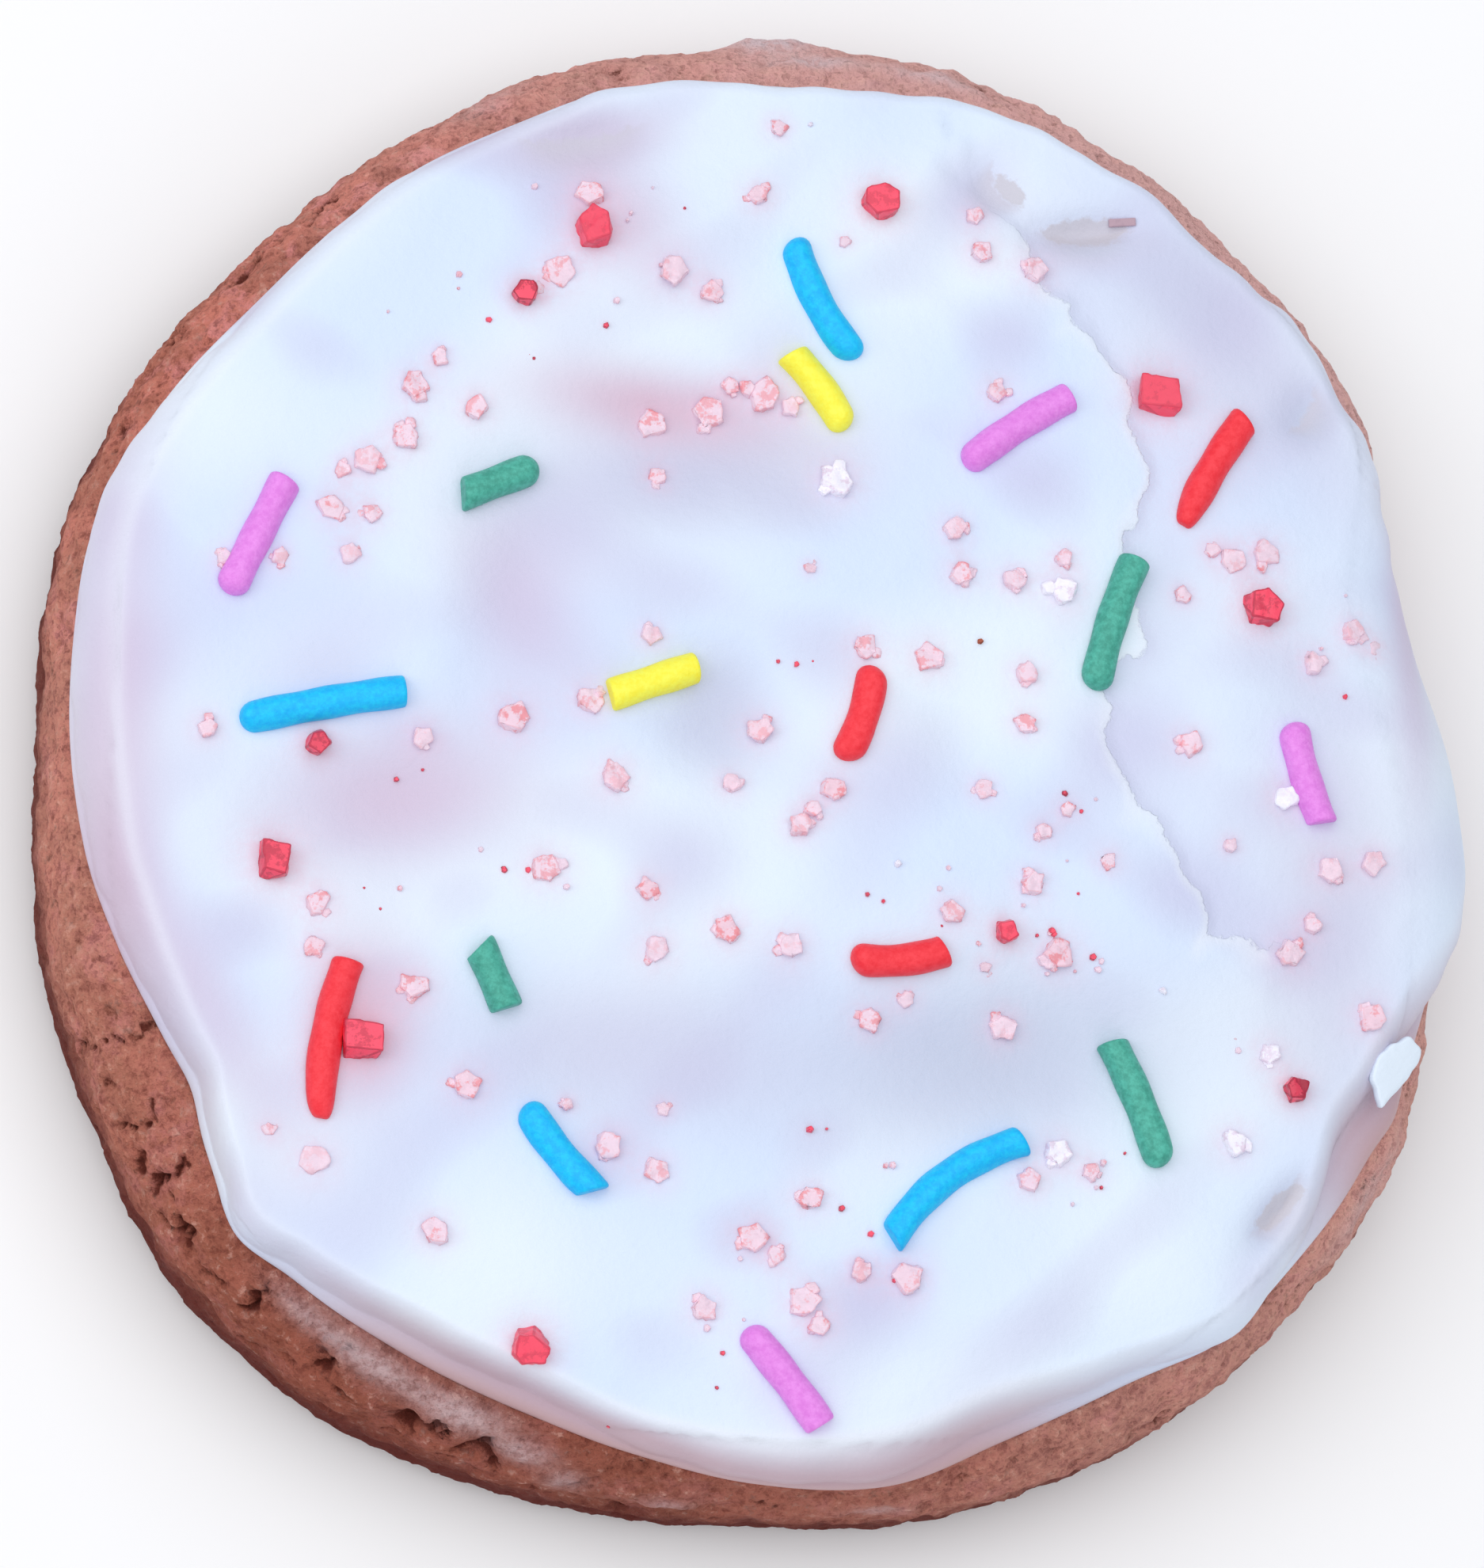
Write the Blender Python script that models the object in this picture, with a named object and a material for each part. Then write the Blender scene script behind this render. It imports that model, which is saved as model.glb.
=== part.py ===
"""A round iced cookie: a craggy baked base, a thick soft layer of icing and the sprinkles set in it."""

import math
import random

import bmesh
import bpy
import numpy as np
from mathutils import Matrix

MM = 0.001
FULL_TURN = 2.0 * math.pi

# The baked base. Radii are every 15 degrees, counter-clockwise from +X. All sizes are in millimetres.
BASE_RADII = (
    35.6, 34.4, 38.5, 39.0, 39.4, 39.6, 38.5, 38.2, 37.2, 36.8, 36.9, 36.7,
    36.0, 37.0, 38.0, 39.5, 39.6, 39.0, 38.7, 39.4, 39.7, 39.7, 39.4, 37.5,
)
RIM_HEIGHT = 9.2
DOME_RISE = 1.1
SHOULDER_REACH = 3.0
SHOULDER_DROP = 4.2
SHOULDER_ARC = 0.8 * (SHOULDER_REACH + SHOULDER_DROP)
FOOT_INSET = 1.5
FOOT_HEIGHT = 2.4
CRAG_DEPTH = 0.24
CRAG_SPACING = 5.0
FINE_CRAG_SHARE = 0.4
FINE_CRAG_SPACING = 2.0
BASE_COLUMNS = 126

# Pits in the crust: angle in degrees, height above the underside, radius and depth.
CRUST_PITS = (
    (218.0, 7.8, 0.8, 0.3),
    (223.0, 7.4, 0.8, 0.3),
    (232.0, 5.2, 0.8, 0.3),
    (236.0, 7.6, 0.8, 0.3),
    (243.0, 7.2, 0.9, 0.6),
    (249.0, 7.2, 1.0, 0.7),
    (262.0, 4.6, 0.7, 0.4),
    (301.0, 6.2, 0.7, 0.3),
    (137.0, 7.4, 0.8, 0.4),
)
# A smear of icing baked to the back of the rim: angle, arc length past the start of the shoulder,
# half-width along the rim, half-width down it and rise.
RIM_SMEAR = (88.0, 5.0, 2.3, 1.5, 1.1)

# The icing. Its reach past the start of the shoulder is every 10 degrees from +X.
ICING_GAP = 0.3
ICING_REACH = (
    6.2, 5.4, 2.9, 1.2, 1.1, 0.6, 0.5, 0.3, -0.3, 0.1, 0.5, 0.3,
    0.8, 0.7, 0.6, 1.2, 2.0, 2.2, 2.4, 1.4, 0.0, -0.9, -0.5, -0.3,
    -0.4, 0.0, 1.0, 2.1, 2.2, 0.8, 0.5, 1.3, 1.2, 1.2, 2.1, 4.1,
)
# How far the thin glaze at its edge runs on past the thick lip, at the same angles.
GLAZE_RUN = (
    0.3, 0.3, 0.3, 0.3, 0.3, 0.3, 0.3, 0.3, 0.3, 0.3, 0.3, 0.3,
    0.3, 0.3, 0.3, 0.3, 0.3, 0.4, 0.5, 0.4, 0.3, 0.3, 0.3, 0.4,
    0.8, 0.9, 0.5, 0.6, 0.8, 0.8, 0.4, 0.3, 0.9, 2.4, 0.8, 0.3,
)
LEAST_RUN = 0.3
# Narrow bulges of its edge: angle in degrees, half-angle and extra reach.
EDGE_BULGES = (
    (27.0, 2.5, 0.1), (56.0, 2.0, 0.35), (213.0, 3.0, -0.3),
    (224.5, 3.5, 0.8), (309.0, 4.0, 0.3), (332.0, 2.5, 0.4),
)
TOP_THICKNESS = 3.1
SIDE_THICKNESS = 1.2
GLAZE_THICKNESS = 0.55
# The width of its rounded lip is every 15 degrees from +X.
LIP_WIDTHS = (
    1.8, 1.7, 1.6, 1.5, 1.4, 1.4, 1.5, 1.5, 1.6, 1.7, 1.9, 2.2,
    2.6, 2.2, 1.2, 1.0, 1.2, 1.2, 1.9, 2.4, 1.5, 1.6, 1.7, 1.8,
)
LIP_SOFTNESS = 1.3
GLAZE_LIP_WIDTH = 0.6
ICING_COLUMNS = 96
TOP_RINGS = 12

# Swells and dents of its top: x, y, length, width, heading in degrees and rise.
SWELLS = (
    (-24.0, 20.5, 8.0, 4.0, 45.0, 0.5),
    (-5.0, 25.0, 6.0, 3.2, 5.0, 0.6),
    (1.5, 9.4, 7.0, 3.0, 0.0, 0.5),
    (24.0, 3.0, 9.0, 4.0, 80.0, 0.4),
    (-29.0, 1.5, 10.0, 2.6, 95.0, 0.4),
    (3.0, -7.5, 9.0, 4.5, 0.0, 0.5),
    (-14.0, -27.0, 8.0, 3.4, 150.0, 0.5),
    (12.0, -28.5, 9.0, 3.2, 15.0, 0.4),
    (-4.8, 15.3, 8.0, 3.2, 8.0, -0.8),
    (-12.9, 6.6, 6.5, 2.6, 70.0, -0.6),
    (-2.8, 0.6, 4.0, 2.6, 40.0, -0.6),
    (-18.9, -4.2, 5.5, 3.2, 15.0, -0.7),
    (11.4, -16.1, 9.0, 3.6, 10.0, -0.9),
    (-7.0, -16.5, 6.0, 3.0, -10.0, -0.5),
    (9.7, -0.2, 4.0, 2.2, 95.0, -0.3),
    (-9.8, 30.6, 3.6, 1.6, 12.0, -0.5),
    (16.5, 27.6, 2.8, 0.9, 8.0, -0.8),
    (28.0, 18.7, 1.8, 1.2, 60.0, -0.5),
    (26.2, -23.5, 2.4, 1.0, 50.0, -0.6),
    (11.4, 29.6, 1.6, 1.4, 0.0, -0.4),
)
# The line of the step where a thicker coat ends, with its rise, and the widths over which it fades out
# beside the line and past its ends.
STEP_LINE = (
    (10.1, 31.7), (13.8, 27.2), (15.6, 22.3), (18.9, 19.5), (19.4, 14.0),
    (18.6, 6.4), (16.8, 2.0), (17.7, -1.6), (21.8, -6.7), (21.9, -9.6), (25.4, -10.4),
)
STEP_RISE = 0.32
STEP_SLOPE = 0.4
STEP_FADE = 5.0
STEP_END = 1.5

# Sprinkle rods: x, y, length, heading in degrees and sideways bend.
ROD_WIDTH = 1.65
ROD_SIDES = 6
ROD_SINK = 0.42
ROD_SPAN = 0.3
RODS = (
    (2.8, 23.0, 7.0, -62.0, -0.4),
    (-22.8, 0.5, 8.5, 12.0, 0.1),
    (-10.7, -21.6, 5.5, -51.0, -0.2),
    (9.5, -23.0, 8.5, 38.0, 0.8),
    (2.5, 18.1, 4.8, -53.0, 0.2),
    (-6.1, 2.4, 4.8, 21.0, 0.0),
    (12.8, 16.5, 6.8, 35.0, 0.2),
    (-26.2, 9.1, 6.7, 65.0, 0.0),
    (27.9, -0.7, 5.4, -73.0, -0.2),
    (0.7, -32.7, 6.1, -51.0, 0.1),
    (23.2, 14.9, 6.7, 60.0, 0.2),
    (4.4, 1.2, 5.2, 72.0, -0.3),
    (6.4, -11.2, 4.9, 7.0, -0.3),
    (-22.0, -16.5, 8.1, 81.0, 0.4),
    (-13.9, 12.6, 4.3, 25.0, 0.0),
    (17.8, 6.5, 7.3, 72.0, 0.2),
    (-14.1, -13.1, 3.4, -65.0, 0.0),
    (18.8, -18.3, 6.8, -69.0, 0.2),
)

# Angular candy chips: x, y, width over the corners, number of sides and heading in degrees.
CHIP_HEIGHT = 1.5
CHIP_STAND = 0.6
CHIP_TOP = 0.86
CHIPS = (
    (-9.1, 26.1, 2.4, 5, 100.0),
    (-12.7, 22.5, 1.5, 6, 0.0),
    (5.8, 28.4, 2.1, 6, 20.0),
    (20.3, 18.9, 2.9, 4, 50.0),
    (25.6, 7.8, 2.3, 5, 80.0),
    (-23.0, -1.4, 1.5, 5, 0.0),
    (-25.2, -7.3, 2.5, 4, 45.0),
    (-20.7, -16.4, 2.7, 4, 42.0),
    (12.0, -9.8, 1.4, 5, 60.0),
    (-12.1, -31.6, 2.1, 6, 10.0),
    (27.0, -17.2, 1.5, 5, 30.0),
)

# Sugar crystals: x, y and width.
CRYSTAL_HEIGHT = 1.1
CRYSTAL_STAND = 0.26
CRYSTAL_SIDES = 5
CRYSTAL_TOP = 0.8
CRYSTALS = (
    (-9.3, 28.1, 1.9), (-10.9, 23.7, 2.0), (-5.0, 24.0, 1.9), (-3.1, 23.0, 1.4),
    (-0.6, 28.4, 1.5), (11.1, 26.0, 1.6), (13.9, 25.2, 1.8), (-18.2, 17.4, 1.8),
    (-15.1, 16.4, 1.5), (-18.7, 14.7, 1.7), (-20.6, 13.4, 1.8), (-22.4, 10.8, 1.8),
    (-21.5, 8.4, 1.4), (-6.1, 16.1, 2.0), (-3.1, 16.8, 2.0), (-0.3, 17.9, 2.2),
    (3.4, 13.4, 2.2), (9.5, 11.1, 1.5), (9.8, 8.8, 1.5), (12.6, 8.6, 1.5),
    (15.1, 8.2, 1.9), (11.8, 18.5, 1.5), (24.1, 10.3, 1.7), (25.9, 10.8, 1.8),
    (28.4, 5.1, 1.5), (30.6, 7.0, 1.7), (21.7, 0.5, 1.5), (-17.7, -0.9, 1.5),
    (-13.1, 0.3, 2.1), (-9.3, 1.3, 1.8), (-8.0, -2.6, 1.8), (-0.6, 0.2, 1.7),
    (8.1, 4.3, 1.8), (3.1, -2.8, 1.6), (1.4, -4.8, 1.5), (-11.4, -7.5, 1.9),
    (-6.3, -8.4, 1.5), (-5.9, -11.4, 1.7), (-2.3, -10.3, 1.8), (0.9, -11.0, 1.7),
    (-22.9, -9.6, 1.8), (-18.1, -13.7, 1.8), (-15.4, -18.5, 1.8), (-22.9, -22.6, 1.9),
    (-16.9, -26.0, 1.7), (13.4, -7.2, 1.5), (14.7, -10.7, 2.0), (5.0, -14.5, 1.5),
    (12.0, -14.5, 1.7), (31.4, -5.2, 1.5), (26.7, -2.1, 1.7), (25.7, -15.4, 1.5),
    (23.9, -20.0, 1.7), (14.7, -20.9, 1.7), (-8.2, -21.4, 1.8), (-5.8, -22.6, 1.6),
    (2.0, -23.7, 1.6), (-0.9, -25.8, 2.0), (6.9, -27.5, 2.0), (1.7, -28.9, 2.0),
    (-3.3, -29.4, 1.7),
)
# How uneven the chips and crystals are, and how much narrower their tops are.
LUMP_TURN = 0.22
LUMP_WIDTH = (0.82, 1.15)
LUMP_LEAN = 0.16

# A broken flake of icing on the edge: angle in degrees, reach, thickness, lift and tilt, and the corners of
# its outline as distances outwards and along the edge.
FLAKE_ANGLE = 333.9
FLAKE_REACH = 0.1
FLAKE_THICKNESS = 0.5
FLAKE_LIFT = 2.6
FLAKE_TILT = -22.0
FLAKE_OUTLINE = (
    (-1.4, -0.3), (-1.2, 0.5), (-0.8, 1.4), (-0.2, 2.0), (0.7, 1.8), (1.0, 1.1),
    (0.7, -0.1), (0.4, -1.1), (0.2, -2.0), (-0.3, -1.5), (-0.9, -0.9),
)

# Where the rings of points lie, as shares of each run.
FOOT_RINGS = (0.5, 1.0)
WALL_RINGS = (0.045, 0.1, 0.17, 0.25, 0.33, 0.41, 0.49, 0.57, 0.65, 0.73, 0.81, 0.9, 1.0)
DOME_RINGS = (0.85, 0.6, 0.3)
CRAG_FADE = 1.0
UNDER_RINGS = (0.3, 0.6, 0.8, 0.84, 0.88, 0.92, 0.96, 1.0)
GLAZE_LIP_RING = 0.25
GLAZE_RINGS = (0.0, 0.5, 1.0)
LIP_RINGS = (0.06, 0.22, 0.5, 1.0)

CRUST_COLOUR = (0.36, 0.11, 0.07)
CRUST_ROUGHNESS = 0.9
ICING_COLOUR = (0.78, 0.83, 0.97)
ICING_ROUGHNESS = 0.4

SEED = 7
NORMAL_STEP = 0.02
# Number of waves in the random relief, and the spread of their lengths.
WAVE_COUNT = 14
WAVE_SPREAD = (0.6, 1.6)


def clear_scene():
    for item in list(bpy.data.objects):
        bpy.data.objects.remove(item, do_unlink=True)


def around(values, theta):
    """A smooth curve through values spaced evenly round the full turn."""
    values = np.asarray(values, dtype=float)
    count = len(values)
    place = np.mod(theta, FULL_TURN) / FULL_TURN * count
    first = np.floor(place).astype(int)
    t = place - first
    a, b, c, d = (values[(first + k) % count] for k in (-1, 0, 1, 2))
    return b + 0.5 * t * (c - a + t * (2 * a - 5 * b + 4 * c - d + t * (3 * b - a - 3 * c + d)))


def waves(points, spacing, seed):
    """Smooth random relief between about -1 and 1 that varies over the spacing."""
    draw = np.random.default_rng(seed)
    total = np.zeros(points.shape[:-1])
    for _ in range(WAVE_COUNT):
        direction = draw.normal(size=3)
        length = spacing * draw.uniform(*WAVE_SPREAD)
        direction *= FULL_TURN / (length * np.linalg.norm(direction))
        total += np.sin(points @ direction + draw.uniform(0.0, FULL_TURN))
    return total / math.sqrt(WAVE_COUNT)


def turn_from(theta, degrees):
    """Signed angle from a direction, between minus and plus half a turn."""
    return np.mod(theta - math.radians(degrees) + math.pi, FULL_TURN) - math.pi


def turned(x, y, heading):
    """A place's distances along a heading and across it."""
    turn = math.radians(heading)
    return x * math.cos(turn) + y * math.sin(turn), y * math.cos(turn) - x * math.sin(turn)


def shoulder_start(theta):
    return around(BASE_RADII, theta) - SHOULDER_REACH


def profile(theta, s):
    """Radius and height of the base at arc length s from the middle of its top, over the shoulder and down."""
    start = shoulder_start(theta)
    turn = np.clip((s - start) / SHOULDER_ARC, 0.0, 1.0) * math.pi / 2
    drop = np.clip(s - start - SHOULDER_ARC, 0.0, None)
    on_top = s <= start
    rho = np.where(on_top, s, start + SHOULDER_REACH * np.sin(turn))
    dome = DOME_RISE * (1.0 - np.square(s / start))
    height = RIM_HEIGHT + np.where(on_top, dome, -SHOULDER_DROP * (1.0 - np.cos(turn)) - drop)
    low = np.clip((FOOT_HEIGHT - height) / FOOT_HEIGHT, 0.0, 1.0)
    rho = rho - FOOT_INSET * (1.0 - np.sqrt(1.0 - np.square(low)))
    return rho, np.clip(height, 0.0, None)


def over_base(theta, s, lift):
    """Points at arc length s, lifted off the base along its normal."""
    rho_in, height_in = profile(theta, s - NORMAL_STEP)
    rho_out, height_out = profile(theta, s + NORMAL_STEP)
    rho, height = profile(theta, s)
    run, fall = rho_out - rho_in, height_in - height_out
    length = np.hypot(run, fall)
    rho = rho + lift * fall / length
    height = height + lift * run / length
    return np.stack([rho * np.cos(theta), rho * np.sin(theta), height], axis=-1)


def crag_relief(points):
    """Depth of the crust's crags and pits, always inwards."""
    rough = 0.5 + 0.5 * waves(points, CRAG_SPACING, SEED)
    fine = FINE_CRAG_SHARE * waves(points, FINE_CRAG_SPACING, SEED + 1)
    depth = CRAG_DEPTH * np.clip(rough + fine, 0.0, None)
    theta = np.arctan2(points[..., 1], points[..., 0])
    radius = np.hypot(points[..., 0], points[..., 1])
    for angle, height, size, deep in CRUST_PITS:
        away = np.hypot(turn_from(theta, angle) * radius, points[..., 2] - height)
        depth = depth + deep * np.exp(-np.square(away / size))
    return depth


def rim_smear(theta, s):
    """Rise of the smear on the back of the rim."""
    angle, reach, half_along, half_down, rise = RIM_SMEAR
    along = turn_from(theta, angle) * around(BASE_RADII, theta) / half_along
    down = (s - shoulder_start(theta) - reach) / half_down
    return rise * np.exp(-np.square(along) - np.square(down))


def lip(distance, width):
    """Share of the full thickness at a distance in from a rounded edge."""
    t = np.clip(distance / width, 0.0, 1.0)
    return np.power(1.0 - np.square(1.0 - t), 0.5 * LIP_SOFTNESS)


def swell(x, y):
    """Rise of the icing's top above its mean thickness."""
    total = step_rise(x, y)
    for centre_x, centre_y, length, width, heading, rise in SWELLS:
        along, across = turned(x - centre_x, y - centre_y, heading)
        total = total + rise * np.exp(-np.square(along / length) - np.square(across / width))
    return total


def step_place(x, y):
    """Distance from the step line, positive on its left, and a share that fades out past its ends."""
    best = np.full(np.broadcast(x, y).shape, np.inf)
    side = np.zeros(best.shape)
    past_end = np.zeros(best.shape)
    last = len(STEP_LINE) - 2
    for number, ((ax, ay), (bx, by)) in enumerate(zip(STEP_LINE, STEP_LINE[1:])):
        length = math.hypot(bx - ax, by - ay)
        along, across = turned(x - ax, y - ay, math.degrees(math.atan2(by - ay, bx - ax)))
        before = np.clip(-along, 0.0, None)
        after = np.clip(along - length, 0.0, None)
        distance = np.hypot(before + after, across)
        nearer = distance < best
        best = np.where(nearer, distance, best)
        side = np.where(nearer, across, side)
        past_end = np.where(nearer, before * (number == 0) + after * (number == last), past_end)
    return np.where(side < 0.0, best, -best), np.exp(-np.square(past_end / STEP_END))


def step_rise(x, y):
    """The thicker coat on the left of the step line, highest at the line and fading past its ends."""
    place, share = step_place(x, y)
    return 0.5 * STEP_RISE * np.exp(-np.abs(place) / STEP_FADE) * np.tanh(place / STEP_SLOPE) * share


def lip_end(theta):
    """Arc length at which the thick part of the icing ends."""
    return glaze_end(theta) - np.clip(around(GLAZE_RUN, theta), LEAST_RUN, None)


def glaze_end(theta):
    """Arc length at which the icing ends."""
    end = shoulder_start(theta) + around(ICING_REACH, theta)
    for angle, half_angle, reach in EDGE_BULGES:
        end = end + reach * np.exp(-np.square(turn_from(theta, angle) / math.radians(half_angle)))
    return end


def icing_thickness(theta, s):
    past = np.clip((s - shoulder_start(theta) + 1.0) / (SHOULDER_ARC + 1.0), 0.0, 1.0)
    full = TOP_THICKNESS + (SIDE_THICKNESS - TOP_THICKNESS) * past * past * (3.0 - 2.0 * past)
    full = full + swell(s * np.cos(theta), s * np.sin(theta)) * (1.0 - past)
    thick = full * lip(lip_end(theta) - s, around(LIP_WIDTHS, theta))
    glaze = GLAZE_THICKNESS * lip(glaze_end(theta) - s, GLAZE_LIP_WIDTH)
    return np.hypot(thick, glaze)


def icing_top(x, y):
    """Height of the icing's top at a place well inside its edge."""
    theta = np.arctan2(y, x)
    s = np.hypot(x, y)
    _, height = profile(theta, s)
    return height + ICING_GAP + icing_thickness(theta, s)


def ring_solid(name, low_tip, rings, high_tip):
    """A closed solid of rings of points between two middle points, listed from the underside up."""
    columns = len(rings[0])
    points = np.concatenate([[low_tip], *rings, [high_tip]])
    faces = []
    last = 1 + columns * (len(rings) - 1)
    for i in range(columns):
        j = (i + 1) % columns
        faces.append((0, 1 + j, 1 + i))
        faces.append((last + i, last + j, len(points) - 1))
        for row in range(len(rings) - 1):
            low = 1 + columns * row
            high = low + columns
            faces.append((low + i, low + j, high + j, high + i))
    return solid(name, points, faces)


def solid(name, points, faces):
    """An object made from points in millimetres."""
    mesh = bpy.data.meshes.new(name)
    mesh.from_pydata((np.asarray(points) * MM).tolist(), [], faces)
    triangulate(mesh)
    obj = bpy.data.objects.new(name, mesh)
    bpy.context.scene.collection.objects.link(obj)
    return obj


def triangulate(mesh):
    work = bmesh.new()
    work.from_mesh(mesh)
    bmesh.ops.triangulate(work, faces=work.faces)
    work.to_mesh(mesh)
    work.free()


def add_material(obj, name, colour, roughness):
    material = bpy.data.materials.new(name)
    material.use_nodes = True
    shader = material.node_tree.nodes["Principled BSDF"]
    shader.inputs["Base Color"].default_value = (*colour, 1.0)
    shader.inputs["Roughness"].default_value = roughness
    obj.data.materials.clear()
    obj.data.materials.append(material)


def shade_smooth(obj):
    for face in obj.data.polygons:
        face.use_smooth = True


def make_base():
    """The baked base: flat underneath, with crags cut into its wall and the bare part of its shoulder."""
    theta = np.linspace(0.0, FULL_TURN, BASE_COLUMNS, endpoint=False)
    start = shoulder_start(theta)
    wall_end = start + SHOULDER_ARC + RIM_HEIGHT - SHOULDER_DROP
    bare_from = glaze_end(theta)
    rings = [foot_ring(theta, share) for share in FOOT_RINGS]
    for share in WALL_RINGS:
        s = wall_end - share * (SHOULDER_ARC + RIM_HEIGHT - SHOULDER_DROP)
        points = over_base(theta, s, 0.0)
        bare = np.clip((s - bare_from) / CRAG_FADE + 1.0, 0.0, 1.0)
        low = np.clip(points[:, 2] / FOOT_HEIGHT, 0.0, 1.0)
        relief = rim_smear(theta, s) - crag_relief(points)
        rings.append(over_base(theta, s, relief * bare * low))
    for share in DOME_RINGS:
        rings.append(over_base(theta, start * share, 0.0))
    base = ring_solid("cookie_base", (0.0, 0.0, 0.0), rings, (0.0, 0.0, RIM_HEIGHT + DOME_RISE))
    add_material(base, "baked_crust", CRUST_COLOUR, CRUST_ROUGHNESS)
    return base


def foot_ring(theta, share):
    rho = (around(BASE_RADII, theta) - FOOT_INSET) * share
    return np.stack([rho * np.cos(theta), rho * np.sin(theta), np.zeros(len(theta))], axis=-1)


def make_icing():
    """The icing: an even gap off the base below, a soft uneven top and a thin glaze run at its edge."""
    theta = np.linspace(0.0, FULL_TURN, ICING_COLUMNS, endpoint=False)
    outer, inner = glaze_end(theta), lip_end(theta)
    rings = [over_base(theta, outer * share, ICING_GAP) for share in UNDER_RINGS]
    glaze_rim = np.maximum(outer - GLAZE_LIP_WIDTH, 0.5 * (outer + inner))
    places = [outer + (glaze_rim - outer) * GLAZE_LIP_RING]
    places += [glaze_rim + (inner - glaze_rim) * share for share in GLAZE_RINGS]
    places += [inner - around(LIP_WIDTHS, theta) * share for share in LIP_RINGS]
    rim = places[-1]
    places += [rim * (1.0 - (i + 1) / TOP_RINGS) for i in range(TOP_RINGS - 1)]
    rings += [over_base(theta, s, ICING_GAP + icing_thickness(theta, s)) for s in places]
    low_tip = (0.0, 0.0, RIM_HEIGHT + DOME_RISE + ICING_GAP)
    high_tip = (0.0, 0.0, float(icing_top(0.0, 0.0)))
    icing = ring_solid("icing", low_tip, rings, high_tip)
    fuse(icing, make_toppings())
    add_material(icing, "icing", ICING_COLOUR, ICING_ROUGHNESS)
    shade_smooth(icing)
    return icing


def unit(vector):
    return vector / np.linalg.norm(vector)


def slope_along(x, y, direction, reach):
    """A unit vector up the icing's top in a level direction, from its heights at the reach either side."""
    step = reach * direction
    rise = icing_top(x + step[0], y + step[1]) - icing_top(x - step[0], y - step[1])
    return unit(np.array([2.0 * step[0], 2.0 * step[1], float(rise)]))


def place_on_icing(points, x, y, heading, sink, reach):
    """Turns points about +Z, tilts them to the icing's slope and sets them on its top."""
    turn = math.radians(heading)
    forward = slope_along(x, y, np.array([math.cos(turn), math.sin(turn)]), reach)
    sideways = slope_along(x, y, np.array([-math.sin(turn), math.cos(turn)]), reach)
    upward = unit(np.cross(forward, sideways))
    sideways = np.cross(upward, forward)
    middle = np.array([x, y, float(icing_top(x, y))]) - sink * upward
    return np.asarray(points) @ np.stack([forward, sideways, upward]) + middle


def make_rod(index, x, y, length, heading, bend):
    """A six-sided rod along +X with a small sideways bend, lying in the icing."""
    radius = ROD_WIDTH / 2.0
    rings = []
    for share in (-1.0, 0.0, 1.0) if bend else (-1.0, 1.0):
        middle_y = bend * (1.0 - share * share)
        ring = []
        for side in range(ROD_SIDES):
            turn = FULL_TURN * (side + 0.5) / ROD_SIDES
            ring.append((share * length / 2.0, middle_y + radius * math.cos(turn), radius * math.sin(turn)))
        rings.append(ring)
    sink = radius * (2.0 * ROD_SINK - 1.0)
    points = place_on_icing(np.concatenate(rings), x, y, heading, sink, ROD_SPAN * length)
    return solid(f"rod_{index}", points, tube_faces(len(rings), ROD_SIDES))


def tube_faces(rings, sides):
    """Side and end faces of a tube of rings listed along its axis."""
    faces = [tuple(range(sides))[::-1]]
    for row in range(rings - 1):
        for i in range(sides):
            j = (i + 1) % sides
            low, high = row * sides, (row + 1) * sides
            faces.append((low + i, low + j, high + j, high + i))
    faces.append(tuple(range((rings - 1) * sides, rings * sides)))
    return faces


def make_lump(name, draw, place, width, height, sides, heading, stand, top):
    """An angular lump with a narrower flat top that leans, standing a share of its height above the icing."""
    lean_x, lean_y = draw.uniform(-LUMP_LEAN, LUMP_LEAN), draw.uniform(-LUMP_LEAN, LUMP_LEAN)
    points = []
    for level, share in ((-0.5, 1.0), (0.5, top)):
        for side in range(sides):
            turn = FULL_TURN * (side + draw.uniform(-LUMP_TURN, LUMP_TURN)) / sides
            radius = 0.5 * width * share * draw.uniform(*LUMP_WIDTH)
            x, y = radius * math.cos(turn), radius * math.sin(turn)
            points.append((x, y, level * height + (level + 0.5) * (lean_x * x + lean_y * y)))
    points = place_on_icing(points, *place, heading, height * (0.5 - stand), width / 2.0)
    return solid(name, points, tube_faces(2, sides))


def make_chips(draw):
    return [
        make_lump(f"chip_{i}", draw, (x, y), width, CHIP_HEIGHT, sides, heading, CHIP_STAND, CHIP_TOP)
        for i, (x, y, width, sides, heading) in enumerate(CHIPS)
    ]


def make_crystals(draw):
    """The crystals, turned at random."""
    made = []
    for i, (x, y, width) in enumerate(CRYSTALS):
        heading = draw.uniform(0.0, 360.0)
        shape = (width, CRYSTAL_HEIGHT, CRYSTAL_SIDES, heading, CRYSTAL_STAND, CRYSTAL_TOP)
        made.append(make_lump(f"crystal_{i}", draw, (x, y), *shape))
    return made


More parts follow.
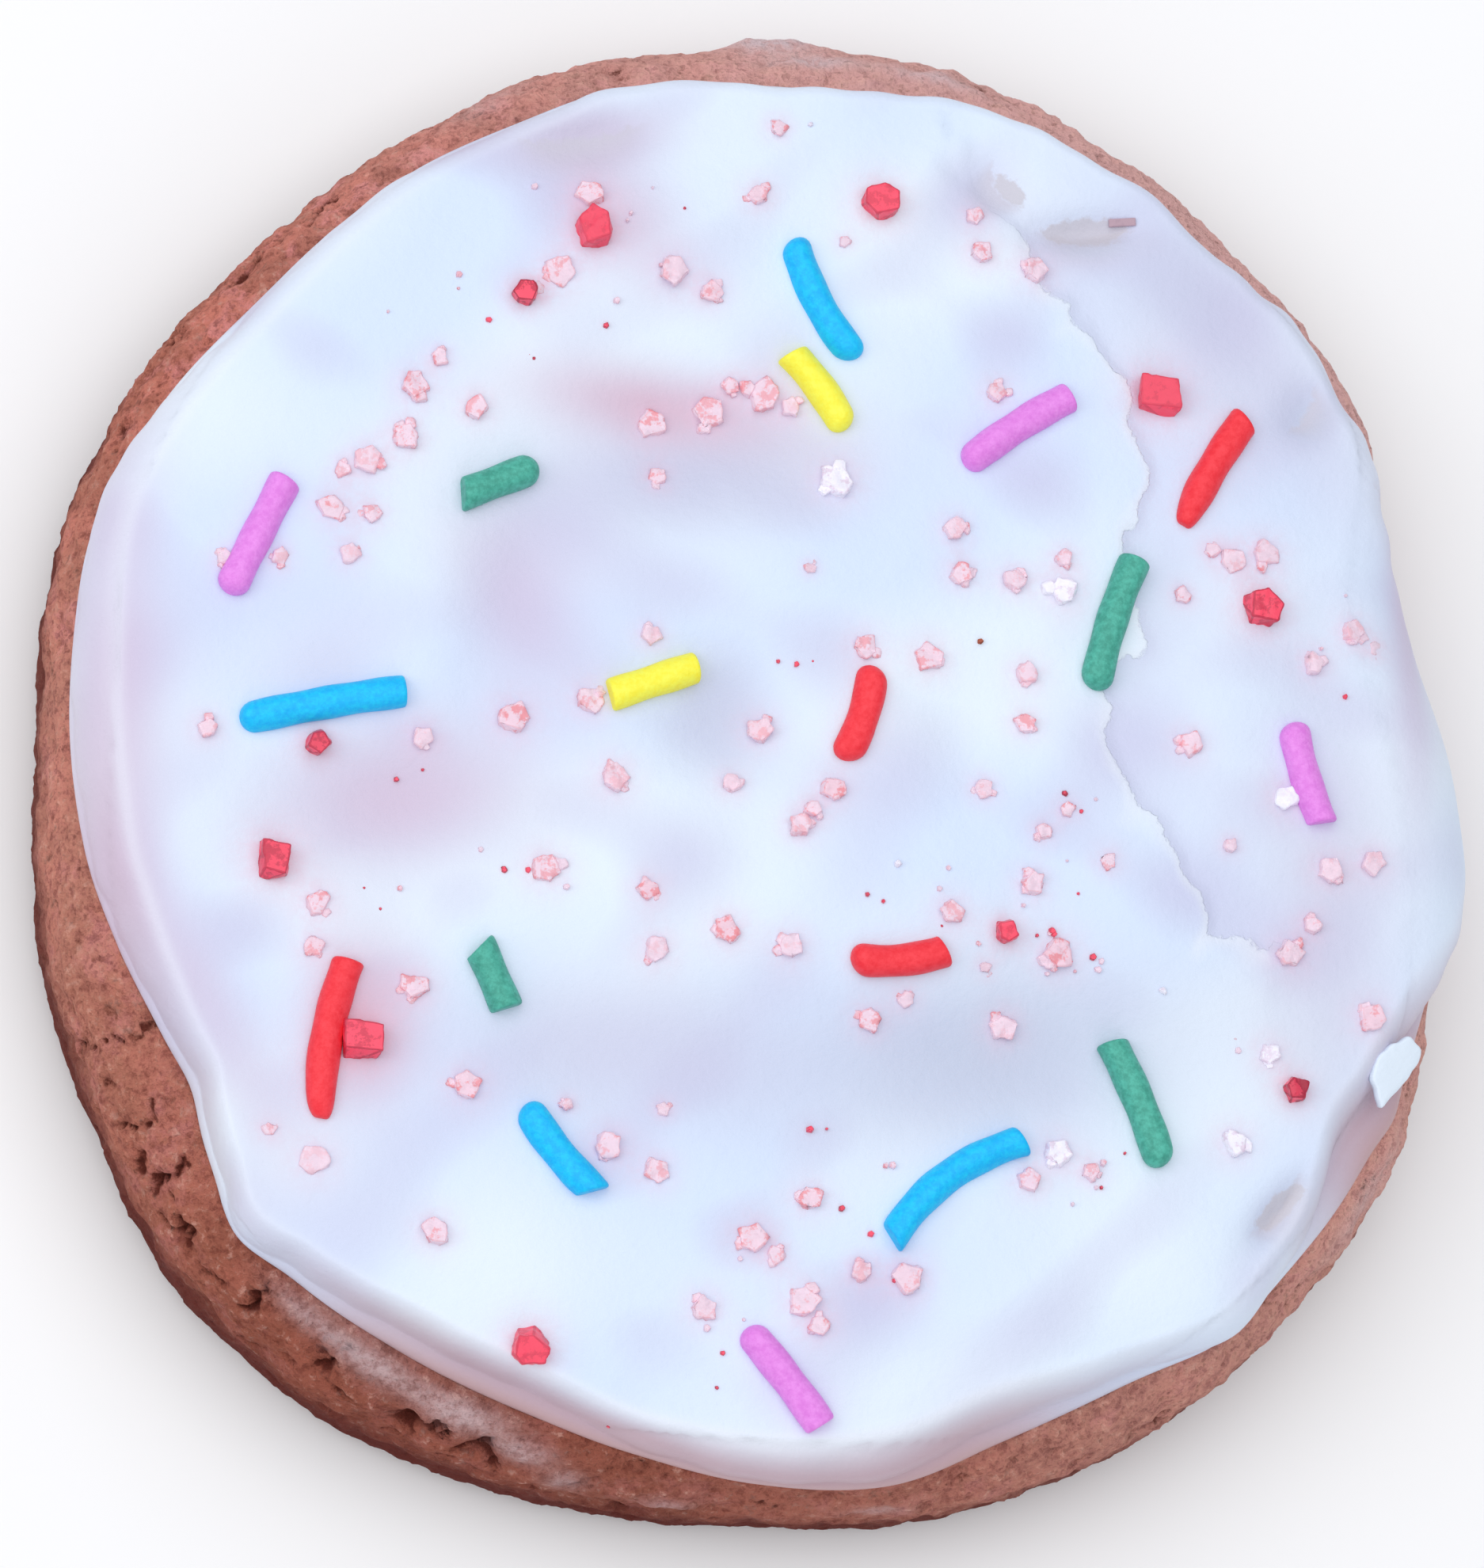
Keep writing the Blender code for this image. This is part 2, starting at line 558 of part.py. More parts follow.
def make_flake():
    """The broken flake of icing that stands off the edge."""
    theta = math.radians(FLAKE_ANGLE)
    middle = over_base(theta, shoulder_start(theta) + FLAKE_REACH, FLAKE_LIFT)
    tilt = math.radians(FLAKE_TILT)
    outward = np.array([math.cos(theta), math.sin(theta), 0.0])
    around_edge = np.array([-outward[1], outward[0], 0.0])
    forward = outward * math.cos(tilt) + np.array([0.0, 0.0, math.sin(tilt)])
    upward = np.cross(forward, around_edge)
    points = [
        middle + out * forward + along * around_edge + level * FLAKE_THICKNESS * upward
        for level in (-0.5, 0.5)
        for out, along in FLAKE_OUTLINE
    ]
    return solid("flake", points, tube_faces(2, len(FLAKE_OUTLINE)))


def make_toppings():
    """The flake, and then every rod, chip and crystal."""
    draw = random.Random(SEED)
    toppings = bpy.data.collections.new("toppings")
    bpy.context.scene.collection.children.link(toppings)
    made = [make_flake()]
    made += [make_rod(i, *rod) for i, rod in enumerate(RODS)]
    made += make_chips(draw)
    made += make_crystals(draw)
    for obj in made:
        bpy.context.scene.collection.objects.unlink(obj)
        toppings.objects.link(obj)
    return toppings


def fuse(obj, collection):
    """Joins a collection's solids to an object, then removes the collection."""
    union = obj.modifiers.new("toppings", "BOOLEAN")
    union.operation = "UNION"
    union.operand_type = "COLLECTION"
    union.collection = collection
    union.solver = "EXACT"
    depsgraph = bpy.context.evaluated_depsgraph_get()
    joined = bpy.data.meshes.new_from_object(obj.evaluated_get(depsgraph))
    obj.modifiers.clear()
    obj.data = joined
    for item in list(collection.objects):
        bpy.data.objects.remove(item, do_unlink=True)
    bpy.data.collections.remove(collection)
    triangulate(joined)
    keep_largest_shell(joined)


def keep_largest_shell(mesh):
    """Fills any hollow that the joining sealed and drops any loose scrap."""
    work = bmesh.new()
    work.from_mesh(mesh)
    unseen = set(work.verts)
    shells = []
    while unseen:
        shell = {unseen.pop()}
        border = list(shell)
        while border:
            vertex = border.pop()
            for edge in vertex.link_edges:
                other = edge.other_vert(vertex)
                if other in unseen:
                    unseen.remove(other)
                    shell.add(other)
                    border.append(other)
        shells.append(shell)
    shells.sort(key=len)
    for shell in shells[:-1]:
        bmesh.ops.delete(work, geom=list(shell), context="VERTS")
    work.to_mesh(mesh)
    work.free()


def centre_on_box(objects):
    """Moves the solids so that the middle of their box's underside is the origin."""
    corners = np.array([vertex.co for obj in objects for vertex in obj.data.vertices])
    low, high = corners.min(axis=0), corners.max(axis=0)
    shift = Matrix.Translation((-(low[0] + high[0]) / 2.0, -(low[1] + high[1]) / 2.0, -low[2]))
    for obj in objects:
        obj.data.transform(shift)


clear_scene()
centre_on_box([make_base(), make_icing()])
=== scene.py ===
"""Looks of a round iced cookie: its crust, its icing, and the sprinkles, chips and crystals set in it."""

import math
import random

import bmesh
import bpy
import numpy as np
from mathutils import Matrix, Vector, noise


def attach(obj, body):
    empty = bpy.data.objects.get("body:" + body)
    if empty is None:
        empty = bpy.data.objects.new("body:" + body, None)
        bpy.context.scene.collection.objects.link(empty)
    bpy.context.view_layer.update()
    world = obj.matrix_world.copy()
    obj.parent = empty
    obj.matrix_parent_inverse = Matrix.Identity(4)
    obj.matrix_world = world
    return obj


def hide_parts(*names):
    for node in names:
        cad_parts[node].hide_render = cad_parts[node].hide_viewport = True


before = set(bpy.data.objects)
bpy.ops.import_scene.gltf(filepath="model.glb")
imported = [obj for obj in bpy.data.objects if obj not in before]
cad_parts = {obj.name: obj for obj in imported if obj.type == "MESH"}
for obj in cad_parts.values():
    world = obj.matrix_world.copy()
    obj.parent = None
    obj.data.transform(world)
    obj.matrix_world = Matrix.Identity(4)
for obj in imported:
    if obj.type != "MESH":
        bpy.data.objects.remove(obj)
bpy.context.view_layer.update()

MM = 0.001
FULL_TURN = 2.0 * math.pi


def linear(red, green, blue):
    """A colour as light strength, from its 0 to 255 screen values."""
    shares = (red / 255.0, green / 255.0, blue / 255.0)
    return tuple(c / 12.92 if c <= 0.04045 else ((c + 0.055) / 1.055) ** 2.4 for c in shares)


# The baked base. Radii are every 15 degrees, counter-clockwise from +X. All sizes are in millimetres.
BASE_RADII = (
    35.6, 34.4, 38.5, 39.0, 39.4, 39.6, 38.5, 38.2, 37.2, 36.8, 36.9, 36.7,
    36.0, 37.0, 38.0, 39.5, 39.6, 39.0, 38.7, 39.4, 39.7, 39.7, 39.4, 37.5,
)
RIM_HEIGHT = 9.2
DOME_RISE = 1.1
SHOULDER_REACH = 3.0
SHOULDER_DROP = 4.2
SHOULDER_ARC = 0.8 * (SHOULDER_REACH + SHOULDER_DROP)
FOOT_INSET = 1.5
FOOT_HEIGHT = 2.4
CRAG_DEPTH = 0.24
CRAG_SPACING = 5.0
FINE_CRAG_SHARE = 0.4
FINE_CRAG_SPACING = 2.0
CRAG_FADE = 1.0

# Pits in the crust: angle in degrees, height above the underside, radius and depth.
CRUST_PITS = (
    (218.0, 7.8, 0.8, 0.3), (223.0, 7.4, 0.8, 0.3),
    (232.0, 5.2, 0.8, 0.3), (236.0, 7.6, 0.8, 0.3),
    (243.0, 7.2, 0.9, 0.6), (249.0, 7.2, 1.0, 0.7),
    (262.0, 4.6, 0.7, 0.4), (301.0, 6.2, 0.7, 0.3),
    (137.0, 7.4, 0.8, 0.4),
)
# A smear of icing baked to the back of the rim: angle, arc length past the start of the shoulder,
# half-width along the rim, half-width down it and rise.
RIM_SMEAR = (88.0, 5.0, 2.3, 1.5, 1.1)

# The icing. Its reach past the start of the shoulder is every 10 degrees from +X.
ICING_GAP = 0.3
ICING_REACH = (
    6.2, 5.4, 2.9, 1.2, 1.1, 0.6, 0.5, 0.3, -0.3, 0.1, 0.5, 0.3,
    0.8, 0.7, 0.6, 1.2, 2.0, 2.2, 2.4, 1.4, 0.0, -0.9, -0.5, -0.3,
    -0.4, 0.0, 1.0, 2.1, 2.2, 0.8, 0.5, 1.3, 1.2, 1.2, 2.1, 4.1,
)
# How far the thin glaze at its edge runs on past the thick lip, at the same angles.
GLAZE_RUN = (
    0.3, 0.3, 0.3, 0.3, 0.3, 0.3, 0.3, 0.3, 0.3, 0.3, 0.3, 0.3,
    0.3, 0.3, 0.3, 0.3, 0.3, 0.4, 0.5, 0.4, 0.3, 0.3, 0.3, 0.4,
    0.8, 0.9, 0.5, 0.6, 0.8, 0.8, 0.4, 0.3, 0.9, 2.4, 0.8, 0.3,
)
LEAST_RUN = 0.3
# Narrow bulges of its edge: angle in degrees, half-angle and extra reach.
EDGE_BULGES = (
    (27.0, 2.5, 0.1), (56.0, 2.0, 0.35), (213.0, 3.0, -0.3),
    (224.5, 3.5, 0.8), (309.0, 4.0, 0.3), (332.0, 2.5, 0.4),
)
# Its thickness on top and down the side; it begins to thin a little before the shoulder.
TOP_THICKNESS = 3.1
SIDE_THICKNESS = 1.2
THINNING_LEAD = 1.0
GLAZE_THICKNESS = 0.55
# The width of its rounded lip is every 15 degrees from +X.
LIP_WIDTHS = (
    1.8, 1.7, 1.6, 1.5, 1.4, 1.4, 1.5, 1.5, 1.6, 1.7, 1.9, 2.2,
    2.6, 2.2, 1.2, 1.0, 1.2, 1.2, 1.9, 2.4, 1.5, 1.6, 1.7, 1.8,
)
LIP_SOFTNESS = 1.3
GLAZE_LIP_WIDTH = 0.6

# Swells and dents of its top: x, y, length, width, heading in degrees and rise.
SWELLS = (
    (-24.0, 20.5, 8.0, 4.0, 45.0, 0.5), (-5.0, 25.0, 6.0, 3.2, 5.0, 0.6),
    (1.5, 9.4, 7.0, 3.0, 0.0, 0.5), (24.0, 3.0, 9.0, 4.0, 80.0, 0.4),
    (-29.0, 1.5, 10.0, 2.6, 95.0, 0.4), (3.0, -7.5, 9.0, 4.5, 0.0, 0.5),
    (-14.0, -27.0, 8.0, 3.4, 150.0, 0.5), (12.0, -28.5, 9.0, 3.2, 15.0, 0.4),
    (-4.8, 15.3, 8.0, 3.2, 8.0, -0.8), (-12.9, 6.6, 6.5, 2.6, 70.0, -0.6),
    (-2.8, 0.6, 4.0, 2.6, 40.0, -0.6), (-18.9, -4.2, 5.5, 3.2, 15.0, -0.7),
    (11.4, -16.1, 9.0, 3.6, 10.0, -0.9), (-7.0, -16.5, 6.0, 3.0, -10.0, -0.5),
    (9.7, -0.2, 4.0, 2.2, 95.0, -0.3), (-9.8, 30.6, 3.6, 1.6, 12.0, -0.5),
    (16.5, 27.6, 2.8, 0.9, 8.0, -0.8), (28.0, 18.7, 1.8, 1.2, 60.0, -0.5),
    (26.2, -23.5, 2.4, 1.0, 50.0, -0.6), (11.4, 29.6, 1.6, 1.4, 0.0, -0.4),
)
# The line of the step where a thicker coat ends, with its rise, and the widths over which it fades out
# beside the line and past its ends.
STEP_LINE = (
    (10.1, 31.7), (13.8, 27.2), (15.6, 22.3), (18.9, 19.5), (19.4, 14.0),
    (18.6, 6.4), (16.8, 2.0), (17.7, -1.6), (21.8, -6.7), (21.9, -9.6), (25.4, -10.4),
)
STEP_RISE = 0.32
STEP_SLOPE = 0.4
STEP_FADE = 5.0
STEP_END = 1.5

# Sprinkle rods: colour, x, y, length, heading in degrees, sideways bend and the form of each end.
ROD_WIDTH = 1.65
ROD_SINK = 0.42
ROD_SPAN = 0.3
RODS = (
    ("blue", 2.8, 23.0, 7.0, -62.0, -0.4, "round", "round"),
    ("blue", -22.8, 0.5, 8.5, 12.0, 0.1, "round", "cut"),
    ("blue", -10.7, -21.6, 5.5, -51.0, -0.2, "round", "left"),
    ("blue", 9.5, -23.0, 8.5, 38.0, 0.8, "cut", "cut"),
    ("yellow", 2.5, 18.1, 4.8, -53.0, 0.2, "cut", "round"),
    ("yellow", -6.1, 2.4, 4.8, 21.0, 0.0, "cut", "cut"),
    ("pink", 12.8, 16.5, 6.8, 35.0, 0.2, "round", "cut"),
    ("pink", -26.2, 9.1, 6.7, 65.0, 0.0, "round", "cut"),
    ("pink", 27.9, -0.7, 5.4, -73.0, -0.2, "round", "cut"),
    ("pink", 0.7, -32.7, 6.1, -51.0, 0.1, "round", "cut"),
    ("red", 23.2, 14.9, 6.7, 60.0, 0.2, "taper", "left"),
    ("red", 4.4, 1.2, 5.2, 72.0, -0.3, "round", "round"),
    ("red", 6.4, -11.2, 4.9, 7.0, -0.3, "round", "right"),
    ("red", -22.0, -16.5, 8.1, 81.0, 0.4, "taper", "cut"),
    ("green", -13.9, 12.6, 4.3, 25.0, 0.0, "left", "round"),
    ("green", 17.8, 6.5, 7.3, 72.0, 0.2, "round", "cut"),
    ("green", -14.1, -13.1, 3.4, -65.0, 0.0, "right", "cut"),
    ("green", 18.8, -18.3, 6.8, -69.0, 0.2, "cut", "round"),
)
# Each form of end: the length over which it narrows, its least width as a share, and how far it slants.
ROD_ENDS = {
    "round": (0.75, 0.0, 0.0),
    "cut": (0.16, 0.8, 0.1),
    "left": (0.16, 0.8, 0.4),
    "right": (0.16, 0.8, -0.4),
    "taper": (2.4, 0.3, 0.0),
}
# How a rod's width wavers along it and round it, and how fast the slant of an end dies away.
ROD_WAVER = 0.03
ROD_WAVER_TURN = 2.2
ROD_DENT = 0.025
ROD_SLANT_POWER = 6
ROD_COLUMNS = 26
ROD_RINGS = 30

# Angular candy chips: x, y, width over the corners, number of sides and heading in degrees.
CHIP_HEIGHT = 1.5
CHIP_STAND = 0.6
CHIP_TOP = 0.86
CHIPS = (
    (-9.1, 26.1, 2.4, 5, 100.0), (-12.7, 22.5, 1.5, 6, 0.0),
    (5.8, 28.4, 2.1, 6, 20.0), (20.3, 18.9, 2.9, 4, 50.0),
    (25.6, 7.8, 2.3, 5, 80.0), (-23.0, -1.4, 1.5, 5, 0.0),
    (-25.2, -7.3, 2.5, 4, 45.0), (-20.7, -16.4, 2.7, 4, 42.0),
    (12.0, -9.8, 1.4, 5, 60.0), (-12.1, -31.6, 2.1, 6, 10.0),
    (27.0, -17.2, 1.5, 5, 30.0),
)

# Sugar crystals: x, y and width.
CRYSTAL_HEIGHT = 1.1
CRYSTAL_STAND = 0.26
CRYSTAL_SIDES = 5
CRYSTAL_TOP = 0.8
CRYSTAL_FLATNESS = 0.7
CRYSTAL_GRAINS = (0, 1, 1, 2)
CRYSTALS = (
    (-9.3, 28.1, 1.9), (-10.9, 23.7, 2.0), (-5.0, 24.0, 1.9), (-3.1, 23.0, 1.4),
    (-0.6, 28.4, 1.5), (11.1, 26.0, 1.6), (13.9, 25.2, 1.8), (-18.2, 17.4, 1.8),
    (-15.1, 16.4, 1.5), (-18.7, 14.7, 1.7), (-20.6, 13.4, 1.8), (-22.4, 10.8, 1.8),
    (-21.5, 8.4, 1.4), (-6.1, 16.1, 2.0), (-3.1, 16.8, 2.0), (-0.3, 17.9, 2.2),
    (3.4, 13.4, 2.2), (9.5, 11.1, 1.5), (9.8, 8.8, 1.5), (12.6, 8.6, 1.5),
    (15.1, 8.2, 1.9), (11.8, 18.5, 1.5), (24.1, 10.3, 1.7), (25.9, 10.8, 1.8),
    (28.4, 5.1, 1.5), (30.6, 7.0, 1.7), (21.7, 0.5, 1.5), (-17.7, -0.9, 1.5),
    (-13.1, 0.3, 2.1), (-9.3, 1.3, 1.8), (-8.0, -2.6, 1.8), (-0.6, 0.2, 1.7),
    (8.1, 4.3, 1.8), (3.1, -2.8, 1.6), (1.4, -4.8, 1.5), (-11.4, -7.5, 1.9),
    (-6.3, -8.4, 1.5), (-5.9, -11.4, 1.7), (-2.3, -10.3, 1.8), (0.9, -11.0, 1.7),
    (-22.9, -9.6, 1.8), (-18.1, -13.7, 1.8), (-15.4, -18.5, 1.8), (-22.9, -22.6, 1.9),
    (-16.9, -26.0, 1.7), (13.4, -7.2, 1.5), (14.7, -10.7, 2.0), (5.0, -14.5, 1.5),
    (12.0, -14.5, 1.7), (31.4, -5.2, 1.5), (26.7, -2.1, 1.7), (25.7, -15.4, 1.5),
    (23.9, -20.0, 1.7), (14.7, -20.9, 1.7), (-8.2, -21.4, 1.8), (-5.8, -22.6, 1.6),
    (2.0, -23.7, 1.6), (-0.9, -25.8, 2.0), (6.9, -27.5, 2.0), (1.7, -28.9, 2.0),
    (-3.3, -29.4, 1.7),
)
# Grains grown onto their sides, as shares of the crystal's width: how far out, how wide, how high and how
# deep they stand, and their turn from its heading in degrees.
SIDE_GRAIN_REACH = (0.3, 0.42)
SIDE_GRAIN_WIDTH = (0.4, 0.6)
SIDE_GRAIN_STAND = (0.6, 1.1)
SIDE_GRAIN_TURN = 50.0
# Crystals that are white rather than pink.
WHITE_CRYSTALS = ((14.7, -20.9), (26.7, -2.1), (3.4, 13.4), (15.1, 8.2), (25.7, -15.4), (23.9, -20.0))
# Smaller crystals beside them.
SMALL_CRYSTALS = (
    (-12.0, 22.8, 1.0), (0.5, 32.2, 1.2), (10.8, 28.0, 1.2), (3.9, 26.1, 0.8), (-17.0, 19.0, 1.1),
    (-21.9, 12.8, 1.0), (-20.4, 10.6, 1.4), (-25.0, 8.1, 1.2), (-27.8, 7.9, 1.1), (-2.0, 18.2, 1.1),
    (1.1, 17.3, 1.3), (-5.8, 13.2, 1.3), (15.2, 9.9, 1.2), (1.9, 8.6, 0.8), (23.0, 10.8, 1.1),
    (21.5, 8.3, 1.1), (31.8, 6.2, 1.1), (13.2, 3.7, 1.5), (13.1, 1.1, 1.3), (10.9, -2.4, 1.3),
    (-28.6, -0.9, 1.3), (-6.2, 4.8, 1.3), (4.8, 4.7, 1.7), (-2.1, -2.7, 1.3), (2.1, -3.9, 1.1),
    (-23.1, -11.8, 1.4), (-25.2, -21.1, 1.0), (14.0, -4.5, 1.1), (15.2, -3.3, 1.0), (17.3, -5.9, 1.2),
    (9.2, -8.9, 1.7), (6.9, -13.4, 1.1), (11.0, -11.6, 0.9), (29.0, -5.7, 1.7), (28.1, -8.6, 1.2),
    (26.9, -10.2, 1.8), (23.8, -4.7, 0.9), (31.2, -13.3, 1.8), (13.2, -22.4, 1.5), (16.4, -21.8, 1.2),
    (-10.3, -19.3, 0.8), (-5.4, -19.4, 0.9), (0.3, -26.6, 1.2), (4.6, -27.3, 1.4), (2.5, -30.1, 1.4),
)

# How uneven the chips and crystals are, and how much their tops lean.
LUMP_TURN = 0.22
LUMP_WIDTH = (0.82, 1.15)
LUMP_LEAN = 0.16
# Small grains that lie loose on the icing: sides, height as a share of width, stand and width of the top.
LOOSE_SIDES = 5
LOOSE_FLATNESS = 0.8
LOOSE_STAND = 0.5
LOOSE_TOP = 0.7
GLINT_SIDES = 4
# Worn edges of chips and grains: the angle under which faces become one, the rounds of the bevel and its
# roundness, how much the tone of the faces varies, and the least tone of a grain.
ONE_FACE_ANGLE = 8.0
WORN_ROUNDS = 2
WORN_ROUNDNESS = 0.6
FACET_TONE = 0.7
LEAST_TONE = 0.001

# A broken flake of icing on the edge: angle in degrees, reach, thickness, lift and tilt, and the corners of
# its outline as distances outwards and along the edge.
FLAKE_ANGLE = 333.9
FLAKE_REACH = 0.1
FLAKE_THICKNESS = 0.5
FLAKE_LIFT = 2.6
FLAKE_TILT = -22.0
FLAKE_OUTLINE = (
    (-1.4, -0.3), (-1.2, 0.5), (-0.8, 1.4), (-0.2, 2.0), (0.7, 1.8), (1.0, 1.1),
    (0.7, -0.1), (0.4, -1.1), (0.2, -2.0), (-0.3, -1.5), (-0.9, -0.9),
)
# The levels of the flake's worn rim: height as a share of its thickness, and width as a share of the full
# one. The levels of its two middle points come next, then the points along each side and how uneven it is.
FLAKE_RIM = ((-0.5, 0.97), (-0.1, 1.0), (0.3, 1.0), (0.44, 0.97), (0.5, 0.9), (0.52, 0.5))
FLAKE_MIDDLES = (-0.5, 0.53)
FLAKE_POINTS_ALONG = 6
FLAKE_WEAR = 0.07
FLAKE_WEAR_SPACING = 1.1

SEED = 7
# How far apart the points are that give the slope of the base's profile.
NORMAL_STEP = 0.02
# Number of waves in the random relief, and the spread of their lengths.
WAVE_COUNT = 14
WAVE_SPREAD = (0.6, 1.6)

# What centres the model's box on the origin.
CENTRE_SHIFT = (-0.598, -0.255)

# The camera: its tilt from straight down, the side it leans to, its distance, the point it looks at, the
# width that it sees there and that of its sensor, and the nearest distance that it sees, in metres.
CAMERA_TILT = 17.0
CAMERA_SIDE = 232.0
CAMERA_DISTANCE = 450.0
CAMERA_TARGET = (-1.215, -2.291, 12.0)
FRAME_WIDTH = 74.96
SENSOR_WIDTH = 36.0
CAMERA_NEAR = 0.01

# Finer forms of the icing's top.
SOFT_RELIEF = 0.09
SOFT_SPACING = 10.0
FINE_RELIEF = 0.012
FINE_SPACING = 3.0
RAGGED_EDGE = 0.8
RAGGED_SPACING = 4.5
RAGGED_DETAIL = 0.22
RAGGED_DETAIL_SPACING = 2.2
EDGE_WOBBLE = 0.12
EDGE_WOBBLE_SPACING = 4.0
EDGE_RADIUS = 38.0
RIDGE_RISE = 0.12
RIDGE_WIDTH = 0.4
RIDGE_PLACE = 0.8
# How strong the ridge along the lip is, every 30 degrees from +X.
RIDGE_SHARE = (0.2, 0.1, 0.1, 0.2, 0.3, 0.5, 0.5, 0.4, 0.4, 1.0, 0.4, 0.2)

# How much the side of the lip is tinted, every 15 degrees from +X.
SKIRT_SHARE = (
    0.4, 0.2, 0.1, 0.1, 0.1, 0.1, 0.1, 0.1, 0.2, 0.15, 0.15, 0.15,
    0.25, 0.3, 0.2, 0.2, 0.8, 1.0, 1.0, 1.0, 0.3, 0.1, 1.0, 0.5,
)
ICING_COLUMNS = 620
GLAZE_LIP_ROWS = 6
GLAZE_ROWS = 12
LIP_ROWS = 18
LIP_ROWS_REACH = 1.3
TOP_ROWS = 112
UNDER_SHARES = (0.3, 0.7, 0.9, 0.96, 0.99, 1.0)
EDGE_SEAT = 1.2

# Local tints of the icing, mostly painted shade in its valleys and nicks and partly its own pink: x, y,
# length, width, heading in degrees, and shares of lavender, pink and grey.
SHADE_TINTS = (
    (-5.6, 16.8, 6.5, 2.0, -8.0, 0.2, 1.0, 0.0), (-4.6, 13.4, 8.0, 3.0, 8.0, 0.7, 0.1, 0.4),
    (-12.9, 6.6, 3.0, 5.0, 20.0, 0.8, 0.3, 0.0), (-18.9, -3.9, 6.0, 3.4, 10.0, 0.8, 0.6, 0.0),
    (-2.8, 1.0, 2.5, 3.0, 0.0, 0.7, 0.0, 0.6), (11.4, -16.1, 9.0, 4.0, 10.0, 0.3, 0.0, 1.0),
    (-7.0, -16.5, 9.0, 3.5, 0.0, 0.6, 0.1, 0.3), (-9.6, 31.0, 3.6, 1.5, 12.0, 1.0, 0.7, 0.5),
    (26.0, 21.0, 9.0, 3.2, 125.0, 0.5, 0.1, 0.2), (21.0, 25.0, 4.0, 2.6, 140.0, 0.5, 0.0, 0.4),
    (16.8, 26.8, 2.4, 0.9, 6.0, 0.3, 0.9, 1.0), (29.0, -8.0, 3.5, 10.0, 0.0, 0.4, 0.2, 0.3),
    (34.0, 8.0, 1.2, 9.0, 0.0, 0.7, 0.4, 0.0), (28.6, 18.2, 1.6, 1.2, 60.0, 0.6, 0.0, 0.9),
    (26.2, -23.6, 1.8, 1.0, 52.0, 0.6, 0.0, 0.9), (-33.0, -2.0, 2.2, 16.0, 0.0, 0.5, 0.5, 0.0),
    (-29.0, -14.0, 8.0, 2.0, 120.0, 0.5, 0.4, 0.0), (-20.5, -15.5, 2.6, 4.0, 0.0, 0.4, 0.9, 0.0),
    (-7.6, 27.0, 2.6, 3.4, 30.0, 0.3, 0.5, 0.0),
)

# The crust.
CRUST_COLUMNS = 960
CRUST_ROWS = 84
CRUST_FOOT_SHARES = (0.4, 0.8, 0.95, 1.0)
CRUST_DOME_SHARES = (0.93, 0.6, 0.3)
CRUST_GRAIN = 0.15
CRUST_GRAIN_SPACING = 0.9
CRUST_GRAIN_FORM = (0.7, 2.1, 4)
CRUST_GRAIN_OFFSET = (3.1, 1.7, 2.3)
# How deep the crags already are at the end of the icing, as a share.
CRAG_START = 0.4
# How much crags add to the painted shade in hollows, the depth that is painted fully dark, the rise of the
# smear that hides the crust, and the height at which the foot starts to darken and the run over which it
# does.
CRAG_SHADE = 0.35
FULL_SHADE_DEPTH = 0.6
FULL_SMEAR = 0.6
FOOT_SHADE_TOP = 6.6
FOOT_SHADE_RUN = 4.6
# Small pits: their number, the limits of angle, height, length, width and depth, and the part of the turn
# round each that is worked out.
SMALL_PITS = 420
SMALL_PIT_LIMITS = ((0.0, 360.0), (0.5, 9.6), (0.15, 0.6), (0.12, 0.26), (0.08, 0.32))
SMALL_PIT_WINDOW = 4.0
# Cracks in the crust: angle in degrees, height, length, width, heading in degrees and depth.
CRACKS = (
    (206.0, 7.9, 1.6, 0.14, 80.0, 0.5), (209.0, 7.6, 0.5, 0.3, 40.0, 0.5),
    (212.5, 8.0, 1.5, 0.16, 82.0, 0.6), (215.0, 7.2, 0.9, 0.16, 60.0, 0.6),
    (217.5, 8.1, 1.2, 0.2, 88.0, 0.8), (220.5, 7.4, 1.0, 0.2, 35.0, 0.8),
    (222.0, 7.9, 0.6, 0.26, 80.0, 0.8), (225.5, 7.6, 0.9, 0.16, 20.0, 0.6),
    (228.5, 8.0, 0.8, 0.28, 75.0, 1.0), (230.5, 5.4, 0.4, 0.2, 10.0, 0.5),
    (233.5, 7.2, 0.6, 0.14, 75.0, 0.4), (236.0, 7.8, 0.9, 0.18, 70.0, 0.7),
    (238.0, 7.2, 0.5, 0.2, 80.0, 0.7), (243.5, 7.4, 0.6, 0.4, 80.0, 1.1),
    (245.2, 7.8, 0.5, 0.24, 20.0, 0.9), (248.5, 7.5, 0.9, 0.3, 40.0, 1.0),
    (250.5, 6.7, 0.8, 0.22, -40.0, 0.9), (253.5, 5.6, 0.4, 0.2, -20.0, 0.5),
    (261.0, 4.6, 0.4, 0.3, 0.0, 0.8), (205.0, 6.0, 1.1, 0.14, 20.0, 0.4),
    (210.5, 5.6, 0.8, 0.14, -10.0, 0.4), (284.0, 4.4, 0.4, 0.3, 10.0, 0.5),
    (291.0, 5.4, 0.5, 0.3, 20.0, 0.6), (296.0, 6.4, 0.6, 0.22, 20.0, 0.6),
    (303.0, 6.0, 0.6, 0.2, 10.0, 0.5), (312.0, 6.4, 0.5, 0.2, -10.0, 0.5),
    (128.0, 7.6, 0.8, 0.24, 20.0, 0.7), (136.0, 7.2, 1.1, 0.2, 0.0, 0.7),
    (145.0, 7.0, 0.8, 0.2, 10.0, 0.5), (118.0, 7.9, 0.9, 0.2, -10.0, 0.5),
)
